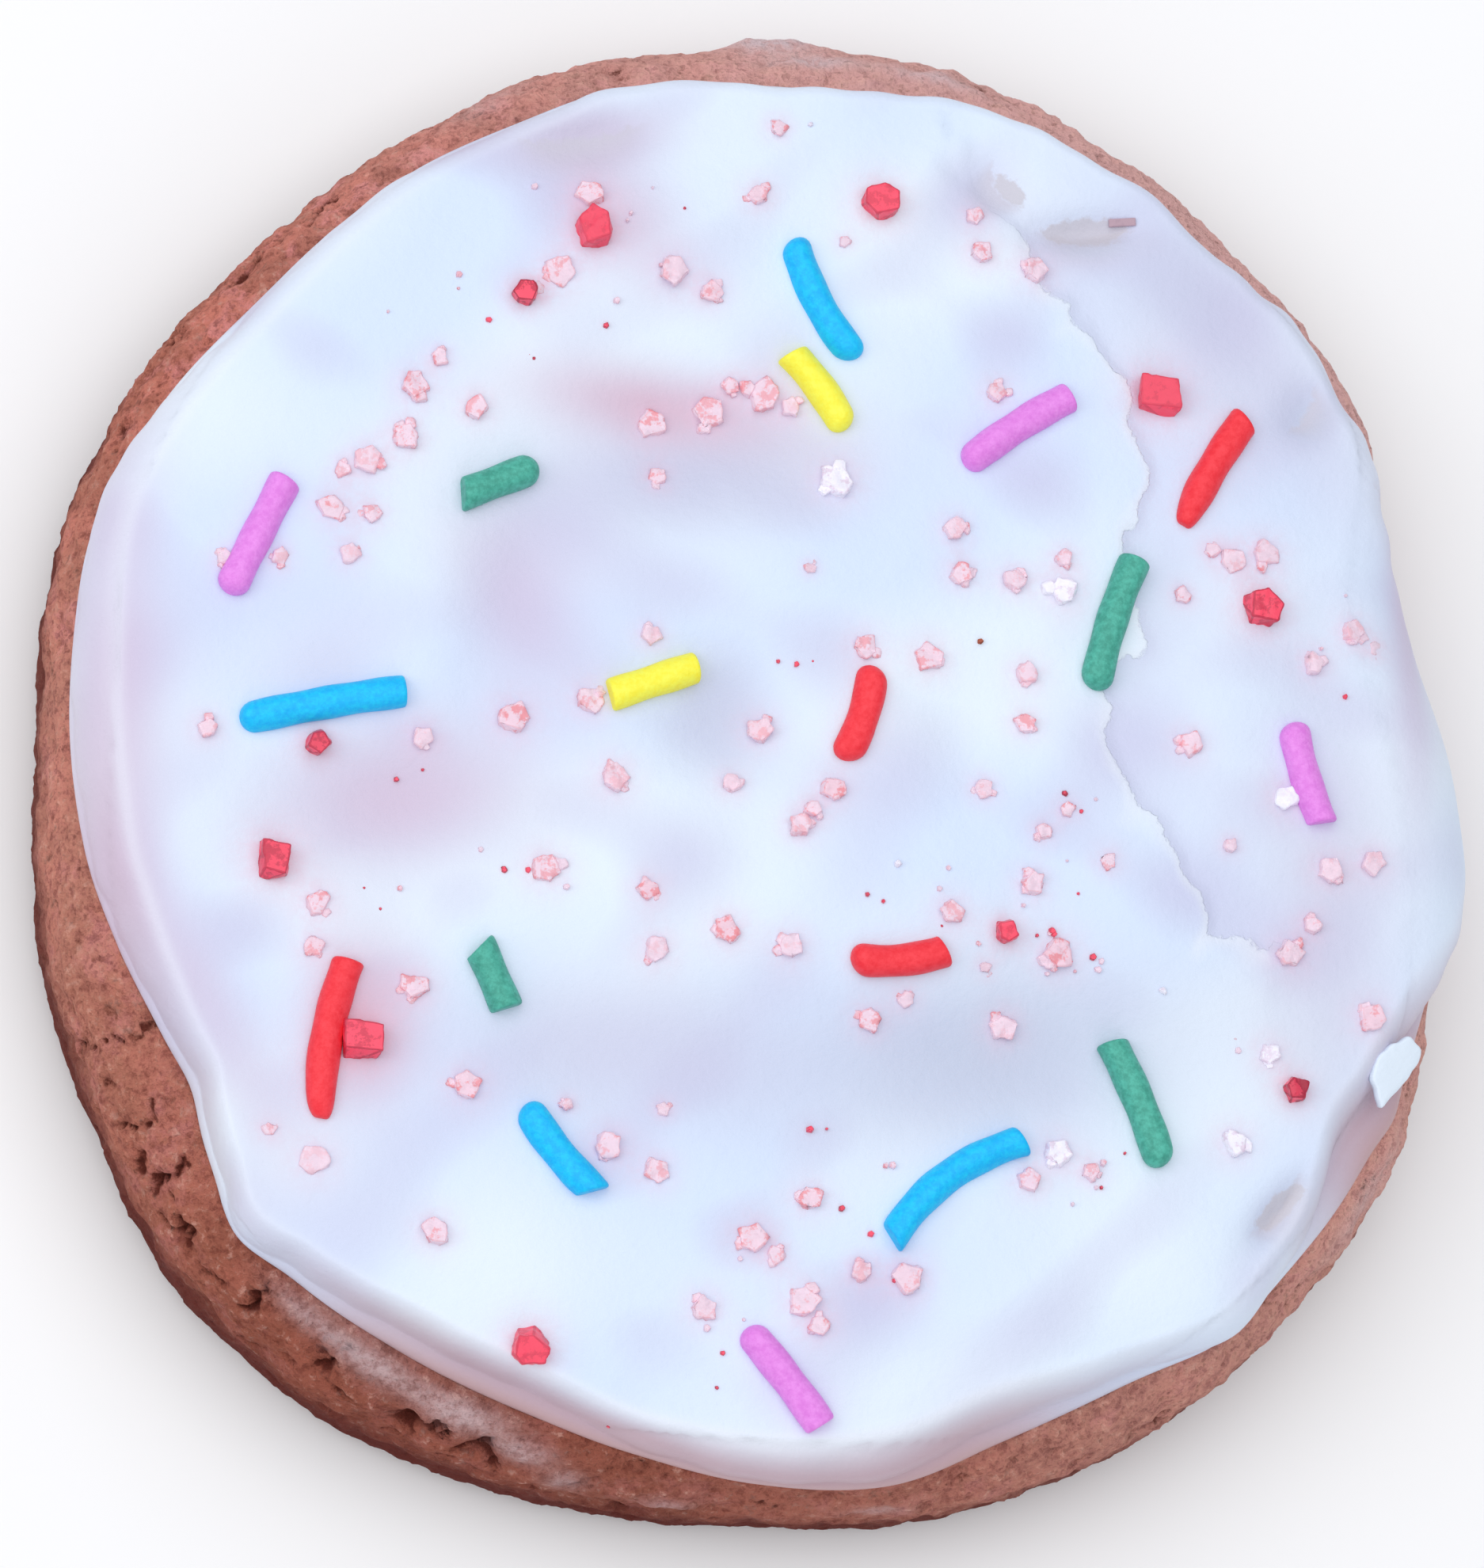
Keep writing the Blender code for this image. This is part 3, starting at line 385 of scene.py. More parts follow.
# How far the shapes of cracks and pits wander, and over what spacing.
WANDER = 0.3
WANDER_SPACING = 1.6
FINE_WANDER = 0.12
FINE_WANDER_SPACING = 0.6

# Tiny specks of sugar: x, y, count, spread and share that are red.
SPECKS = (
    (14.6, -10.0, 16, 1.6, 0.6), (5.4, -24.4, 6, 1.6, 0.5), (-12.2, 19.2, 2, 0.4, 0.9),
    (-18.0, -2.0, 3, 1.0, 0.6), (-19.6, -8.8, 3, 0.6, 0.8), (2.6, -19.6, 2, 0.4, 0.8),
    (0.8, 3.4, 3, 0.6, 0.8), (15.6, -2.8, 4, 0.7, 0.6), (-23.4, -19.2, 3, 1.0, 0.4),
    (-1.8, -30.6, 5, 1.5, 0.5), (17.2, -22.4, 6, 1.2, 0.6), (-12.2, -7.4, 4, 1.4, 0.5),
    (30.0, 6.6, 6, 1.6, 0.4), (-18.0, 20.4, 4, 1.6, 0.3), (7.4, -9.4, 6, 2.6, 0.3),
    (24.6, -16.2, 5, 1.6, 0.4), (-8.0, 24.6, 8, 3.4, 0.3), (-8.0, -35.0, 2, 0.5, 0.7),
)
SPECK_WIDTH = 0.34
SPECK_SPREAD = (0.5, 1.5)
# White grains that catch the light, and crumbs of the crust: x, y and width.
GLINTS = ((20.2, -12.4, 0.6), (6.4, -6.6, 0.45), (2.2, 32.4, 0.4))
CRUMBS = ((10.8, 5.3, 0.4),)
# A short dull stick in the icing: x, y, length, width, heading in degrees and sink as a share of its width.
STICK = (18.7, 28.3, 1.4, 0.42, 4.0, 0.25)
# Crisp patches of painted shade in the nicks and a groove, partly the dull beige of scraped icing: x, y,
# length, width and heading in degrees.
SHADED_PATCHES = (
    (16.8, 27.7, 2.3, 0.75, 6.0), (12.8, 29.6, 1.1, 0.5, -50.0), (26.4, -23.1, 1.7, 0.6, 44.0),
)
# How far a shaded patch fades out, as a share of its size.
PATCH_SPREAD = 1.4
# Nicks in the icing's top, sharp on their left and soft on their right: x, y, length, width, heading and
# depth.
NICKS = (
    (16.6, 27.4, 2.6, 1.5, 6.0, 0.25), (28.4, 18.6, 1.6, 1.4, 60.0, 0.2),
    (26.4, -23.2, 2.2, 1.7, 52.0, 0.3), (-9.6, 31.2, 3.6, 1.6, 12.0, 0.14),
    (12.2, 29.6, 1.6, 1.8, -60.0, 0.2), (33.4, 12.6, 3.0, 0.9, 115.0, 0.2),
)
# The width of a nick's sharp side, how far that side bows, and the least share of a nick that is shaded.
NICK_SLOPE = 0.5
NICK_BOW = 0.35
NICK_LEAST = 0.05
# The width over which the shade beside the step line fades, the run over which it begins, and the reach of
# the numbers beside a line.
STEP_SHADE_WIDTH = 3.5
STEP_FADE_IN = 3.0
LINE_REACH = 2.0
# The thin look of the lip's side and its feathered edge, against the distance from the icing's edge.
THIN_REACH = 1.8
FEATHER_FALL = 2.6
FEATHER_SKIRT = (2.0, 0.9)
# Slow changes of the icing's colour: spacing and strength.
DRIFT = (16.0, 0.5)
CLOUDS = (8.0, 0.4)
# Colour bled from crystals and from chips, and its reach as a share of their width.
CRYSTAL_STAIN = 0.4
CHIP_STAIN = 0.5
STAIN_REACH = 0.72
# Thin films of icing on the rim: angle, arc length past the start of the shoulder, half-widths and strength.
RIM_FILMS = (
    (85.0, 2.2, 2.4, 0.7, 0.8), (75.5, 2.0, 2.6, 0.6, 0.7),
    (112.0, 3.4, 3.0, 1.2, 0.3), (326.0, 3.2, 4.0, 1.0, 0.5),
    (233.0, 0.8, 2.4, 0.8, 0.5), (239.0, 1.0, 2.6, 0.9, 0.7),
    (246.5, 1.4, 2.6, 1.0, 0.75), (252.0, 2.6, 1.6, 0.8, 0.6),
    (256.0, 4.0, 1.0, 0.8, 0.5), (264.0, 4.4, 1.2, 0.5, 0.4),
    (280.0, 4.6, 1.6, 0.5, 0.4),
)
# How pale and how orange the crust is, and how much darker its lower-left side is painted, partly as painted
# shade and partly its own baked colour, every 30 degrees from +X.
CRUST_TONES = {
    "pale": (0.8, 0.9, 0.85, 0.65, 0.25, 0.1, 0.25, 0.15, 0.0, 0.15, 0.4, 0.55),
    "orange": (0.6, 0.5, 0.4, 0.4, 0.1, 0.1, 0.5, 0.4, 0.1, 0.3, 0.7, 0.9),
    "dusk": (0.0, 0.0, 0.0, 0.0, 0.0, 0.05, 0.1, 0.45, 1.0, 0.8, 0.3, 0.0),
}
# Crumbly surfaces: rounds of cutting, the longest edge left, the sizes of the crumb's grains, and a grain's
# rise, its fall to its rim and its finer part.
LUMPY_CUTS = 3
LUMPY_EDGE = 0.27
LUMPY_GRAIN = 0.5
LUMPY_FINE = 0.22
LUMPY_FORM = (0.9, 1.6, 0.5)

# Colours.
ICING_WHITE = linear(230, 242, 255)
ICING_BLUE = linear(217, 232, 255)
ICING_GLEAM = linear(238, 244, 255)
ICING_LAVENDER = linear(202, 200, 230)
ICING_PINK = linear(216, 188, 208)
ICING_BLUSH = linear(232, 190, 210)
STEP_SHADE = linear(210, 214, 240)
NICK_SHADE = linear(204, 200, 214)
ICING_SHADE_GREY = linear(198, 206, 228)
PATCH_SHADE = linear(200, 194, 202)
GLAZE_COLOUR = linear(198, 172, 184)
GLAZE_EDGE = linear(196, 158, 158)
CRUST_BROWN = linear(220, 126, 106)
CRUST_DARK = linear(182, 102, 80)
CRUST_PINKISH = linear(238, 146, 142)
CRUST_AMBER = linear(226, 148, 110)
CRUST_TAN = linear(240, 190, 186)
CRUST_GRAINS = linear(246, 192, 176)
CRUST_SHADE = linear(146, 82, 66)
CRUST_DEEP = linear(104, 46, 36)
CRUST_MAROON = linear(100, 42, 38)
FILM_COLOUR = linear(226, 200, 204)
FLOOR_LIGHT = (0.98, 0.98, 0.98)
FLOOR_DARK = (0.95, 0.95, 0.96)
ROD_COLOURS = {
    "blue": (linear(16, 206, 255), linear(0, 180, 250)),
    "yellow": (linear(255, 255, 90), linear(255, 244, 62)),
    "pink": (linear(240, 148, 240), linear(226, 126, 226)),
    "red": (linear(255, 66, 78), linear(244, 44, 58)),
    "green": (linear(86, 188, 168), linear(62, 154, 136)),
}
# Candies and sugars: light and dark colour, clearness, and strength of the shade along worn edges.
CANDIES = {
    "red_candy": (linear(255, 78, 106), linear(170, 30, 60), 0.2, 1.0),
    "pink_sugar": (linear(238, 212, 228), linear(236, 146, 156), 0.3, 0.3),
    "white_sugar": (linear(244, 242, 255), linear(226, 208, 228), 0.3, 0.3),
    "dull_sugar": (linear(186, 156, 170), linear(160, 132, 148), 0.0, 0.5),
}
# The pieces made of hulls: material, width of the worn edges and depth of the crumb.
HULL_PIECES = {
    "red_chips": ("red_candy", 0.08, 0.07),
    "pink_crystals": ("pink_sugar", 0.22, 0.12),
    "white_crystals": ("white_sugar", 0.16, 0.12),
    "crumbs": ("crumb", 0.04, 0.0),
    "stick": ("dull_sugar", 0.06, 0.0),
    "pink_specks": ("pink_sugar", 0.02, 0.0),
    "red_specks": ("red_candy", 0.02, 0.0),
}

# Noise in the looks: waves per metre, detail and roughness.
ICING_NOISE = (1700.0, 4.0, 0.65)
CRUST_NOISE = (1500.0, 5.0, 0.72)
CRUST_CLOUDS = (220.0, 5.0, 0.65)
CRUST_BLUSH = (380.0, 5.0, 0.7)
ROD_NOISE = (2600.0, 4.0, 0.7)
ROD_GRAIN = (4000.0, 3.0, 0.6)
CANDY_NOISE = (1400.0, 4.0, 0.7)
CANDY_GRAIN = (2500.0, 3.0, 0.5)
FLOOR_NOISE = (12.0, 3.0, 0.5)
CRUMB_CELLS = 5200.0
# Fraying of edges: the part of the noise that frays them, and its reach and softness for each.
FRAY = (0.3, 0.7)
STEP_FRAY = (0.16, 0.1)
NICK_FRAY = (0.2, 0.25)
PATCH_FRAY = 0.12
HOLLOW_FRAY = 0.3
# Ranges that values are stretched from and to, and shares of full strength.
STEP_SHADING = 0.7
STEP_CREST = (0.75, 1.0)
STEP_GLEAM = 0.6
NICK_RANGE = (0.15, 0.9)
NICK_SHADING = 0.75
PATCH_RANGE = (0.2, 0.4, 0.0, 0.7)
STAIN_RANGE = (0.35, 0.6, 0.55, 1.0)
FEATHER_RANGE = (0.0, 1.0, 0.0, 0.75)
RIDGE_GLEAM = 0.8
CRUST_CLOUD_RANGE = (0.38, 0.62)
CRUST_BLUSH_RANGE = (0.5, 0.66, 0.0, 0.8)
AMBER_RANGE = (0.35, 0.62)
DUSK_SHADING = 0.8
PALE_RANGE = (0.1, 0.8)
ROUGH_SPECK_RANGE = (0.5, 0.34, 0.0, 0.5)
ROUGH_SPECK_PALE = (1.0, 0.3)
GRAIN_RANGE = (0.54, 0.7, 0.0, 0.5)
CELL_RANGE = (0.75, 1.0, 0.0, 0.3)
FOOT_RANGE = (0.05, 0.85, 0.0, 0.9)
FOOT_PALE = (1.0, 0.6)
HOLLOW_RANGE = (0.25, 0.75, 0.0, 0.95)
FILM_RANGE = (0.36, 0.56, 0.5, 1.0)
ROD_RANGE = (0.3, 0.7)
CANDY_PATCH_RANGE = (0.5, 0.6)
CANDY_PATCHES = 0.7
FACET_RANGE = (0.3, 1.0)
FACET_SHADING = 0.9
TONE_RANGE = (0.0, 1.0, 0.3, 1.2)
# Roughness and mirror strength of each look.
ICING_SHEEN = (0.46, 0.35)
CRUST_SHEEN = (0.88, 0.15)
ROD_SHEEN = (0.42, 0.35)
CANDY_SHEEN = (0.3, 0.5)
FLOOR_SHEEN = (0.7, 0.5)
# Heights of the fine relief, and the depth to which light glows in candy, in metres.
ICING_BUMP = 0.00006
STEP_BUMP = -0.00003
CELL_BUMP = 0.00006
CRUST_BUMP = 0.00045
CANDY_BUMP = 0.00005
GLOW_DEPTH = 0.0008
GLOW_REACH = (1.0, 0.6, 0.6)

# Lights: name, place, size, power and colour.
LIGHTS = (
    ("overhead", (-0.06, 0.10, 0.60), 1.0, 3.0, (0.97, 0.98, 1.0)),
    ("side", (-0.60, 0.00, 0.40), 0.5, 0.9, (1.0, 0.98, 0.97)),
    ("front", (0.10, -0.60, 0.40), 0.5, 0.5, (1.0, 0.98, 0.97)),
)
WORLD_LIGHT = (0.95, 0.97, 1.0)
WORLD_STRENGTH = 0.5
FLOOR_SIZE = 3.0


def around(values, theta):
    """A smooth curve through values spaced evenly round the full turn."""
    values = np.asarray(values, dtype=float)
    count = len(values)
    place = np.mod(theta, FULL_TURN) / FULL_TURN * count
    first = np.floor(place).astype(int)
    t = place - first
    a, b, c, d = (values[(first + k) % count] for k in (-1, 0, 1, 2))
    return b + 0.5 * t * (c - a + t * (2 * a - 5 * b + 4 * c - d + t * (3 * b - a - 3 * c + d)))


def waves(points, spacing, seed):
    """Smooth random relief between about -1 and 1 that varies over the spacing."""
    draw = np.random.default_rng(seed)
    total = np.zeros(points.shape[:-1])
    for _ in range(WAVE_COUNT):
        direction = draw.normal(size=3)
        length = spacing * draw.uniform(*WAVE_SPREAD)
        direction *= FULL_TURN / (length * np.linalg.norm(direction))
        total += np.sin(points @ direction + draw.uniform(0.0, FULL_TURN))
    return total / math.sqrt(WAVE_COUNT)


def turn_from(theta, degrees):
    """Signed angle from a direction, between minus and plus half a turn."""
    return np.mod(theta - math.radians(degrees) + math.pi, FULL_TURN) - math.pi


def turned(x, y, heading):
    """A place's distances along a heading and across it."""
    turn = math.radians(heading)
    return x * math.cos(turn) + y * math.sin(turn), y * math.cos(turn) - x * math.sin(turn)


def shoulder_start(theta):
    """Arc length at which the base's top turns over into its shoulder."""
    return around(BASE_RADII, theta) - SHOULDER_REACH


def profile(theta, s):
    """Radius and height of the base at arc length s from the middle of its top."""
    start = shoulder_start(theta)
    turn = np.clip((s - start) / SHOULDER_ARC, 0.0, 1.0) * math.pi / 2
    drop = np.clip(s - start - SHOULDER_ARC, 0.0, None)
    on_top = s <= start
    rho = np.where(on_top, s, start + SHOULDER_REACH * np.sin(turn))
    dome = DOME_RISE * (1.0 - np.square(s / start))
    height = RIM_HEIGHT + np.where(on_top, dome, -SHOULDER_DROP * (1.0 - np.cos(turn)) - drop)
    low = np.clip((FOOT_HEIGHT - height) / FOOT_HEIGHT, 0.0, 1.0)
    rho = rho - FOOT_INSET * (1.0 - np.sqrt(1.0 - np.square(low)))
    return rho, np.clip(height, 0.0, None)


def over_base(theta, s, lift):
    """Points at arc length s, lifted off the base along its normal."""
    rho_in, height_in = profile(theta, s - NORMAL_STEP)
    rho_out, height_out = profile(theta, s + NORMAL_STEP)
    rho, height = profile(theta, s)
    run, fall = rho_out - rho_in, height_in - height_out
    length = np.hypot(run, fall)
    rho = rho + lift * fall / length
    height = height + lift * run / length
    return np.stack([rho * np.cos(theta), rho * np.sin(theta), height], axis=-1)


def crag_relief(points):
    """Depth of the crust's crags and pits, always inwards."""
    rough = 0.5 + 0.5 * waves(points, CRAG_SPACING, SEED)
    fine = FINE_CRAG_SHARE * waves(points, FINE_CRAG_SPACING, SEED + 1)
    depth = CRAG_DEPTH * np.clip(rough + fine, 0.0, None)
    theta = np.arctan2(points[..., 1], points[..., 0])
    radius = np.hypot(points[..., 0], points[..., 1])
    for angle, height, size, deep in CRUST_PITS:
        away = np.hypot(turn_from(theta, angle) * radius, points[..., 2] - height)
        depth = depth + deep * np.exp(-np.square(away / size))
    return depth


def rim_spot(theta, s, angle, reach, half_along, half_down, strength):
    """A soft spot on the rim, at an angle and an arc length past the start of the shoulder."""
    along = turn_from(theta, angle) * around(BASE_RADII, theta) / half_along
    down = (s - shoulder_start(theta) - reach) / half_down
    return strength * np.exp(-np.square(along) - np.square(down))


def film_share(theta, s):
    """How much of the icing's film covers the crust."""
    return sum(rim_spot(theta, s, *film) for film in RIM_FILMS)


def lip(distance, width):
    """Share of the full thickness at a distance in from a rounded edge."""
    t = np.clip(distance / width, 0.0, 1.0)
    return np.power(1.0 - np.square(1.0 - t), 0.5 * LIP_SOFTNESS)


def swell(x, y):
    """Rise of the icing's top above its mean thickness."""
    total = step_rise(x, y)
    for centre_x, centre_y, length, width, heading, rise in SWELLS:
        along, across = turned(x - centre_x, y - centre_y, heading)
        total = total + rise * np.exp(-np.square(along / length) - np.square(across / width))
    return total


def step_place(x, y):
    """Distance from the step line, positive on its left, and a share that fades out past its ends."""
    best = np.full(np.broadcast(x, y).shape, np.inf)
    side = np.zeros(best.shape)
    past_end = np.zeros(best.shape)
    last = len(STEP_LINE) - 2
    for number, ((ax, ay), (bx, by)) in enumerate(zip(STEP_LINE, STEP_LINE[1:])):
        length = math.hypot(bx - ax, by - ay)
        along, across = turned(x - ax, y - ay, math.degrees(math.atan2(by - ay, bx - ax)))
        before = np.clip(-along, 0.0, None)
        after = np.clip(along - length, 0.0, None)
        distance = np.hypot(before + after, across)
        nearer = distance < best
        best = np.where(nearer, distance, best)
        side = np.where(nearer, across, side)
        past_end = np.where(nearer, before * (number == 0) + after * (number == last), past_end)
    return np.where(side < 0.0, best, -best), np.exp(-np.square(past_end / STEP_END))


def step_rise(x, y):
    """The thicker coat on the left of the step line, highest at the line and fading past its ends."""
    place, share = step_place(x, y)
    return 0.5 * STEP_RISE * np.exp(-np.abs(place) / STEP_FADE) * np.tanh(place / STEP_SLOPE) * share


def lip_end(theta):
    """Arc length at which the thick part of the icing ends."""
    return glaze_end(theta) - np.clip(around(GLAZE_RUN, theta), LEAST_RUN, None)


def glaze_end(theta):
    """Arc length at which the icing ends."""
    end = shoulder_start(theta) + around(ICING_REACH, theta)
    for angle, half_angle, reach in EDGE_BULGES:
        end = end + reach * np.exp(-np.square(turn_from(theta, angle) / math.radians(half_angle)))
    return end


def thickness(theta, s, relief, thick_end):
    """The icing's thickness, from the relief of its top and the arc length at which its thick part ends."""
    past = np.clip((s - shoulder_start(theta) + THINNING_LEAD) / (SHOULDER_ARC + THINNING_LEAD), 0.0, 1.0)
    full = TOP_THICKNESS + (SIDE_THICKNESS - TOP_THICKNESS) * past * past * (3.0 - 2.0 * past)
    full = full + relief * (1.0 - past)
    thick = full * lip(thick_end - s, around(LIP_WIDTHS, theta))
    glaze = GLAZE_THICKNESS * lip(glaze_end(theta) - s, GLAZE_LIP_WIDTH)
    return np.hypot(thick, glaze)


def icing_top(x, y):
    """Height of the icing's top at a place well inside its edge."""
    theta = np.arctan2(y, x)
    s = np.hypot(x, y)
    _, height = profile(theta, s)
    relief = swell(s * np.cos(theta), s * np.sin(theta))
    return height + ICING_GAP + thickness(theta, s, relief, lip_end(theta))


def flat_points(x, y):
    """Points at height 0."""
    return np.stack([x, y, np.zeros(np.shape(x))], axis=-1)


def edge_wobble(theta):
    """How far the end of the icing's thick part wanders in and out."""
    ring = flat_points(EDGE_RADIUS * np.cos(theta), EDGE_RADIUS * np.sin(theta))
    return EDGE_WOBBLE * waves(ring, EDGE_WOBBLE_SPACING, SEED + 2)


def ragged(x, y):
    """A place moved by a fine random amount, which makes straight lines ragged."""
    places = flat_points(x, y)
    moves = []
    for number in (5, 7):
        broad = RAGGED_EDGE * waves(places, RAGGED_SPACING, SEED + number)
        fine = RAGGED_DETAIL * waves(places, RAGGED_DETAIL_SPACING, SEED + number + 1)
        moves.append(broad + fine)
    return x + moves[0], y + moves[1]


def fine_relief(theta, s):
    """Relief of the icing that is finer than its swells: a soft ripple, and a ridge along the lip."""
    places = flat_points(s * np.cos(theta), s * np.sin(theta))
    soft = SOFT_RELIEF * waves(places, SOFT_SPACING, SEED + 3)
    fine = FINE_RELIEF * waves(places, FINE_SPACING, SEED + 4)
    return soft + fine + RIDGE_RISE * ridge_share(theta, s)


def ridge_share(theta, s):
    """How near a place is to the crest of the ridge along the lip."""
    inset = (lip_end(theta) - s - RIDGE_PLACE * around(LIP_WIDTHS, theta)) / RIDGE_WIDTH
    return np.exp(-np.square(inset)) * np.clip(around(RIDGE_SHARE, theta), 0.0, 1.0)


def nick_falls(x, y):
    """For each nick: the distance from its sharp side, its depth, and how deep it is as a share."""
    for centre_x, centre_y, length, width, heading, depth in NICKS:
        along, across = turned(x - centre_x, y - centre_y, heading)
        bowed = across - NICK_BOW * width * np.square(along / length)
        fall = np.exp(-np.abs(bowed) / np.where(bowed > 0.0, NICK_SLOPE, width))
        yield bowed, depth, fall * np.exp(-np.power(along / length, 4))


def nick_relief(x, y):
    """Depth of the nicks, as a fall in the icing's top."""
    return -sum(depth * share for _, depth, share in nick_falls(x, y))


def nick_place(x, y):
    """Distance from the sharp side of the nearest nick, positive outside it, and how deep it is there."""
    shape = np.broadcast(x, y).shape
    place, best = np.full(shape, LINE_REACH), np.full(shape, NICK_LEAST)
    for bowed, _, share in nick_falls(x, y):
        place = np.where(share > best, bowed, place)
        best = np.maximum(best, share)
    return place, best


def fine_thickness(theta, s):
    """The icing's thickness with its step line ragged and its fine relief added."""
    x, y = s * np.cos(theta), s * np.sin(theta)
    step = step_rise(*ragged(x, y)) - step_rise(x, y)
    relief = swell(x, y) + step + nick_relief(x, y) + fine_relief(theta, s)
    return thickness(theta, s, relief, lip_end(theta) + edge_wobble(theta))


def link_object(name, data):
    """A new object in the scene."""
    obj = bpy.data.objects.new(name, data)
    bpy.context.scene.collection.objects.link(obj)
    return obj


def mesh_object(name, points, faces, smooth):
    """An object made from points in millimetres, moved with the model's centring."""
    placed = np.asarray(points, dtype=float).reshape(-1, 3) + np.array([*CENTRE_SHIFT, 0.0])
    mesh = bpy.data.meshes.new(name)
    mesh.from_pydata((placed * MM).tolist(), [], faces)
    mesh.polygons.foreach_set("use_smooth", [smooth] * len(mesh.polygons))
    mesh.update()
    return link_object(name, mesh)


def add_values(obj, name, values):
    """Stores one number for each point, for the material to read."""
    data = obj.data.attributes.new(name, "FLOAT", "POINT").data
    data.foreach_set("value", np.asarray(values, dtype=np.float32).ravel())


def ring_faces(columns, rows):
    """Faces of a stack of rings between a first and a last middle point, listed from the underside up."""
    here = np.arange(columns)
    after = (here + 1) % columns
    faces = [(0, 1 + b, 1 + a) for a, b in zip(here, after)]
    for row in range(rows - 1):
        low = 1 + columns * row
        high = low + columns
        faces += zip(low + here, low + after, high + after, high + here)
    last = 1 + columns * (rows - 1)
    faces += [(last + a, last + b, last + columns) for a, b in zip(here, after)]
    return [tuple(int(corner) for corner in face) for face in faces]


def stack_values(low, rings, high):
    """One value for each point of a stack of rings."""
    return np.concatenate([[low], np.asarray(rings).ravel(), [high]])


def rounded(count):
    """Shares from just above 0 up to 1, closer together at their start."""
    return [1.0 - math.cos(turn) for turn in np.linspace(0.0, math.pi / 2, count + 1)[1:]]


def icing_rows(theta):
    """Arc lengths of the icing's rows on its upper side, from its edge to near its middle."""
    outer, inner = glaze_end(theta), lip_end(theta)
    glaze_rim = np.maximum(outer - GLAZE_LIP_WIDTH, 0.5 * (outer + inner))
    rows = [outer + (glaze_rim - outer) * share for share in rounded(GLAZE_LIP_ROWS)]
    rows += [glaze_rim + (inner - glaze_rim) * share for share in np.linspace(0.0, 1.0, GLAZE_ROWS + 1)[1:]]
    rows += [inner - LIP_ROWS_REACH * around(LIP_WIDTHS, theta) * share for share in rounded(LIP_ROWS)]
    rim = rows[-1]
    rows += [rim * (1.0 - share) for share in np.linspace(0.0, 1.0, TOP_ROWS + 1)[1:-1]]
    return np.array(rows)


def seat(theta, s):
    """The gap below the icing, closing at its edge so that the edge lies on the crust."""
    return ICING_GAP * np.clip((glaze_end(theta) - s) / EDGE_SEAT, 0.0, 1.0)


def icing_object():
    """The icing, with its glaze, swells, dents and step."""
    theta = np.linspace(0.0, FULL_TURN, ICING_COLUMNS, endpoint=False)
    upper = icing_rows(theta)
    top = over_base(theta, upper, seat(theta, upper) + fine_thickness(theta, upper))
    lower = np.array([glaze_end(theta) * share for share in UNDER_SHARES])
    rings = np.concatenate([over_base(theta, lower, seat(theta, lower)), top])
    low_tip = (0.0, 0.0, RIM_HEIGHT + DOME_RISE + ICING_GAP)
    high_tip = (0.0, 0.0, float(icing_top(0.0, 0.0)))
    points = np.concatenate([[low_tip], rings.reshape(-1, 3), [high_tip]])
    obj = mesh_object("icing_coat", points, ring_faces(ICING_COLUMNS, len(rings)), True)
    for name, (under, values) in edge_values(theta, upper).items():
        below = np.full(lower.shape, under)
        add_values(obj, name, stack_values(0.0, np.concatenate([below, values]), 0.0))
    for name, values in top_values(points).items():
        add_values(obj, name, values)
    return obj


def edge_values(theta, s):
    """Looks of the lip and the ridge: for each, its value on the underside and its values on the rows."""
    skirt = np.clip(around(SKIRT_SHARE, theta), 0.0, 1.0)
    distance = (glaze_end(theta) - s) / (around(LIP_WIDTHS, theta) + around(GLAZE_RUN, theta))
    thin = np.clip(THIN_REACH - THIN_REACH * distance, 0.0, 1.0) * skirt
    rise, fall = FEATHER_SKIRT
    feather = np.clip(1.0 - FEATHER_FALL * distance, 0.0, 1.0) * np.clip(rise * skirt - fall, 0.0, 1.0)
    return {"thin": (1.0, thin), "gleam": (0.0, ridge_share(theta, s)), "feather": (1.0, feather)}


def top_values(points):
    """Looks of the icing that depend on the place alone: clouds, tints that are mostly painted shade, stains,
    and places beside lines.
    """
    x, y = points[:, 0], points[:, 1]
    step, share = step_place(*ragged(x, y))
    nick, nick_share = nick_place(x, y)
    drift_spacing, drift = DRIFT
    cloud_spacing, cloud = CLOUDS
    values = {
        "drift": np.clip(0.5 + drift * waves(points, drift_spacing, SEED + 12), 0.0, 1.0),
        "cloud": np.clip(cloud * waves(points, cloud_spacing, SEED + 13), 0.0, 1.0),
        "blush": blush_share(x, y),
        "layer": np.clip(step, -LINE_REACH, LINE_REACH),
        "layer_share": share * step_start(x, y) * np.exp(-np.abs(step) / STEP_SHADE_WIDTH),
        "nick": np.clip(nick, -LINE_REACH, LINE_REACH),
        "nick_share": nick_share,
        "patch": shaded_patch_place(x, y),
    }
    values.update(zip(("lavender", "pink", "grey"), shade_tint_shares(x, y)))
    return values


def shaded_patch_place(x, y):
    """1 in the middle of a shaded patch, falling to 0 outside it."""
    places = []
    for centre_x, centre_y, length, width, heading in SHADED_PATCHES:
        along, across = turned(x - centre_x, y - centre_y, heading)
        places.append(1.0 - np.hypot(along / length, across / width) / PATCH_SPREAD)
    return np.maximum(np.max(places, axis=0), 0.0)


def blush_share(x, y):
    """How much colour has bled into the icing from the candy and the sugar on it."""
    stains = [(*crystal, CRYSTAL_STAIN) for crystal in CRYSTALS + SMALL_CRYSTALS]
    stains += [(*chip[:3], CHIP_STAIN) for chip in CHIPS]
    total = np.zeros(len(x))
    for centre_x, centre_y, width, strength in stains:
        near = np.hypot(x - centre_x, y - centre_y) / (STAIN_REACH * width)
        total += strength * np.exp(-np.square(near))
    return np.clip(total, 0.0, 1.0)


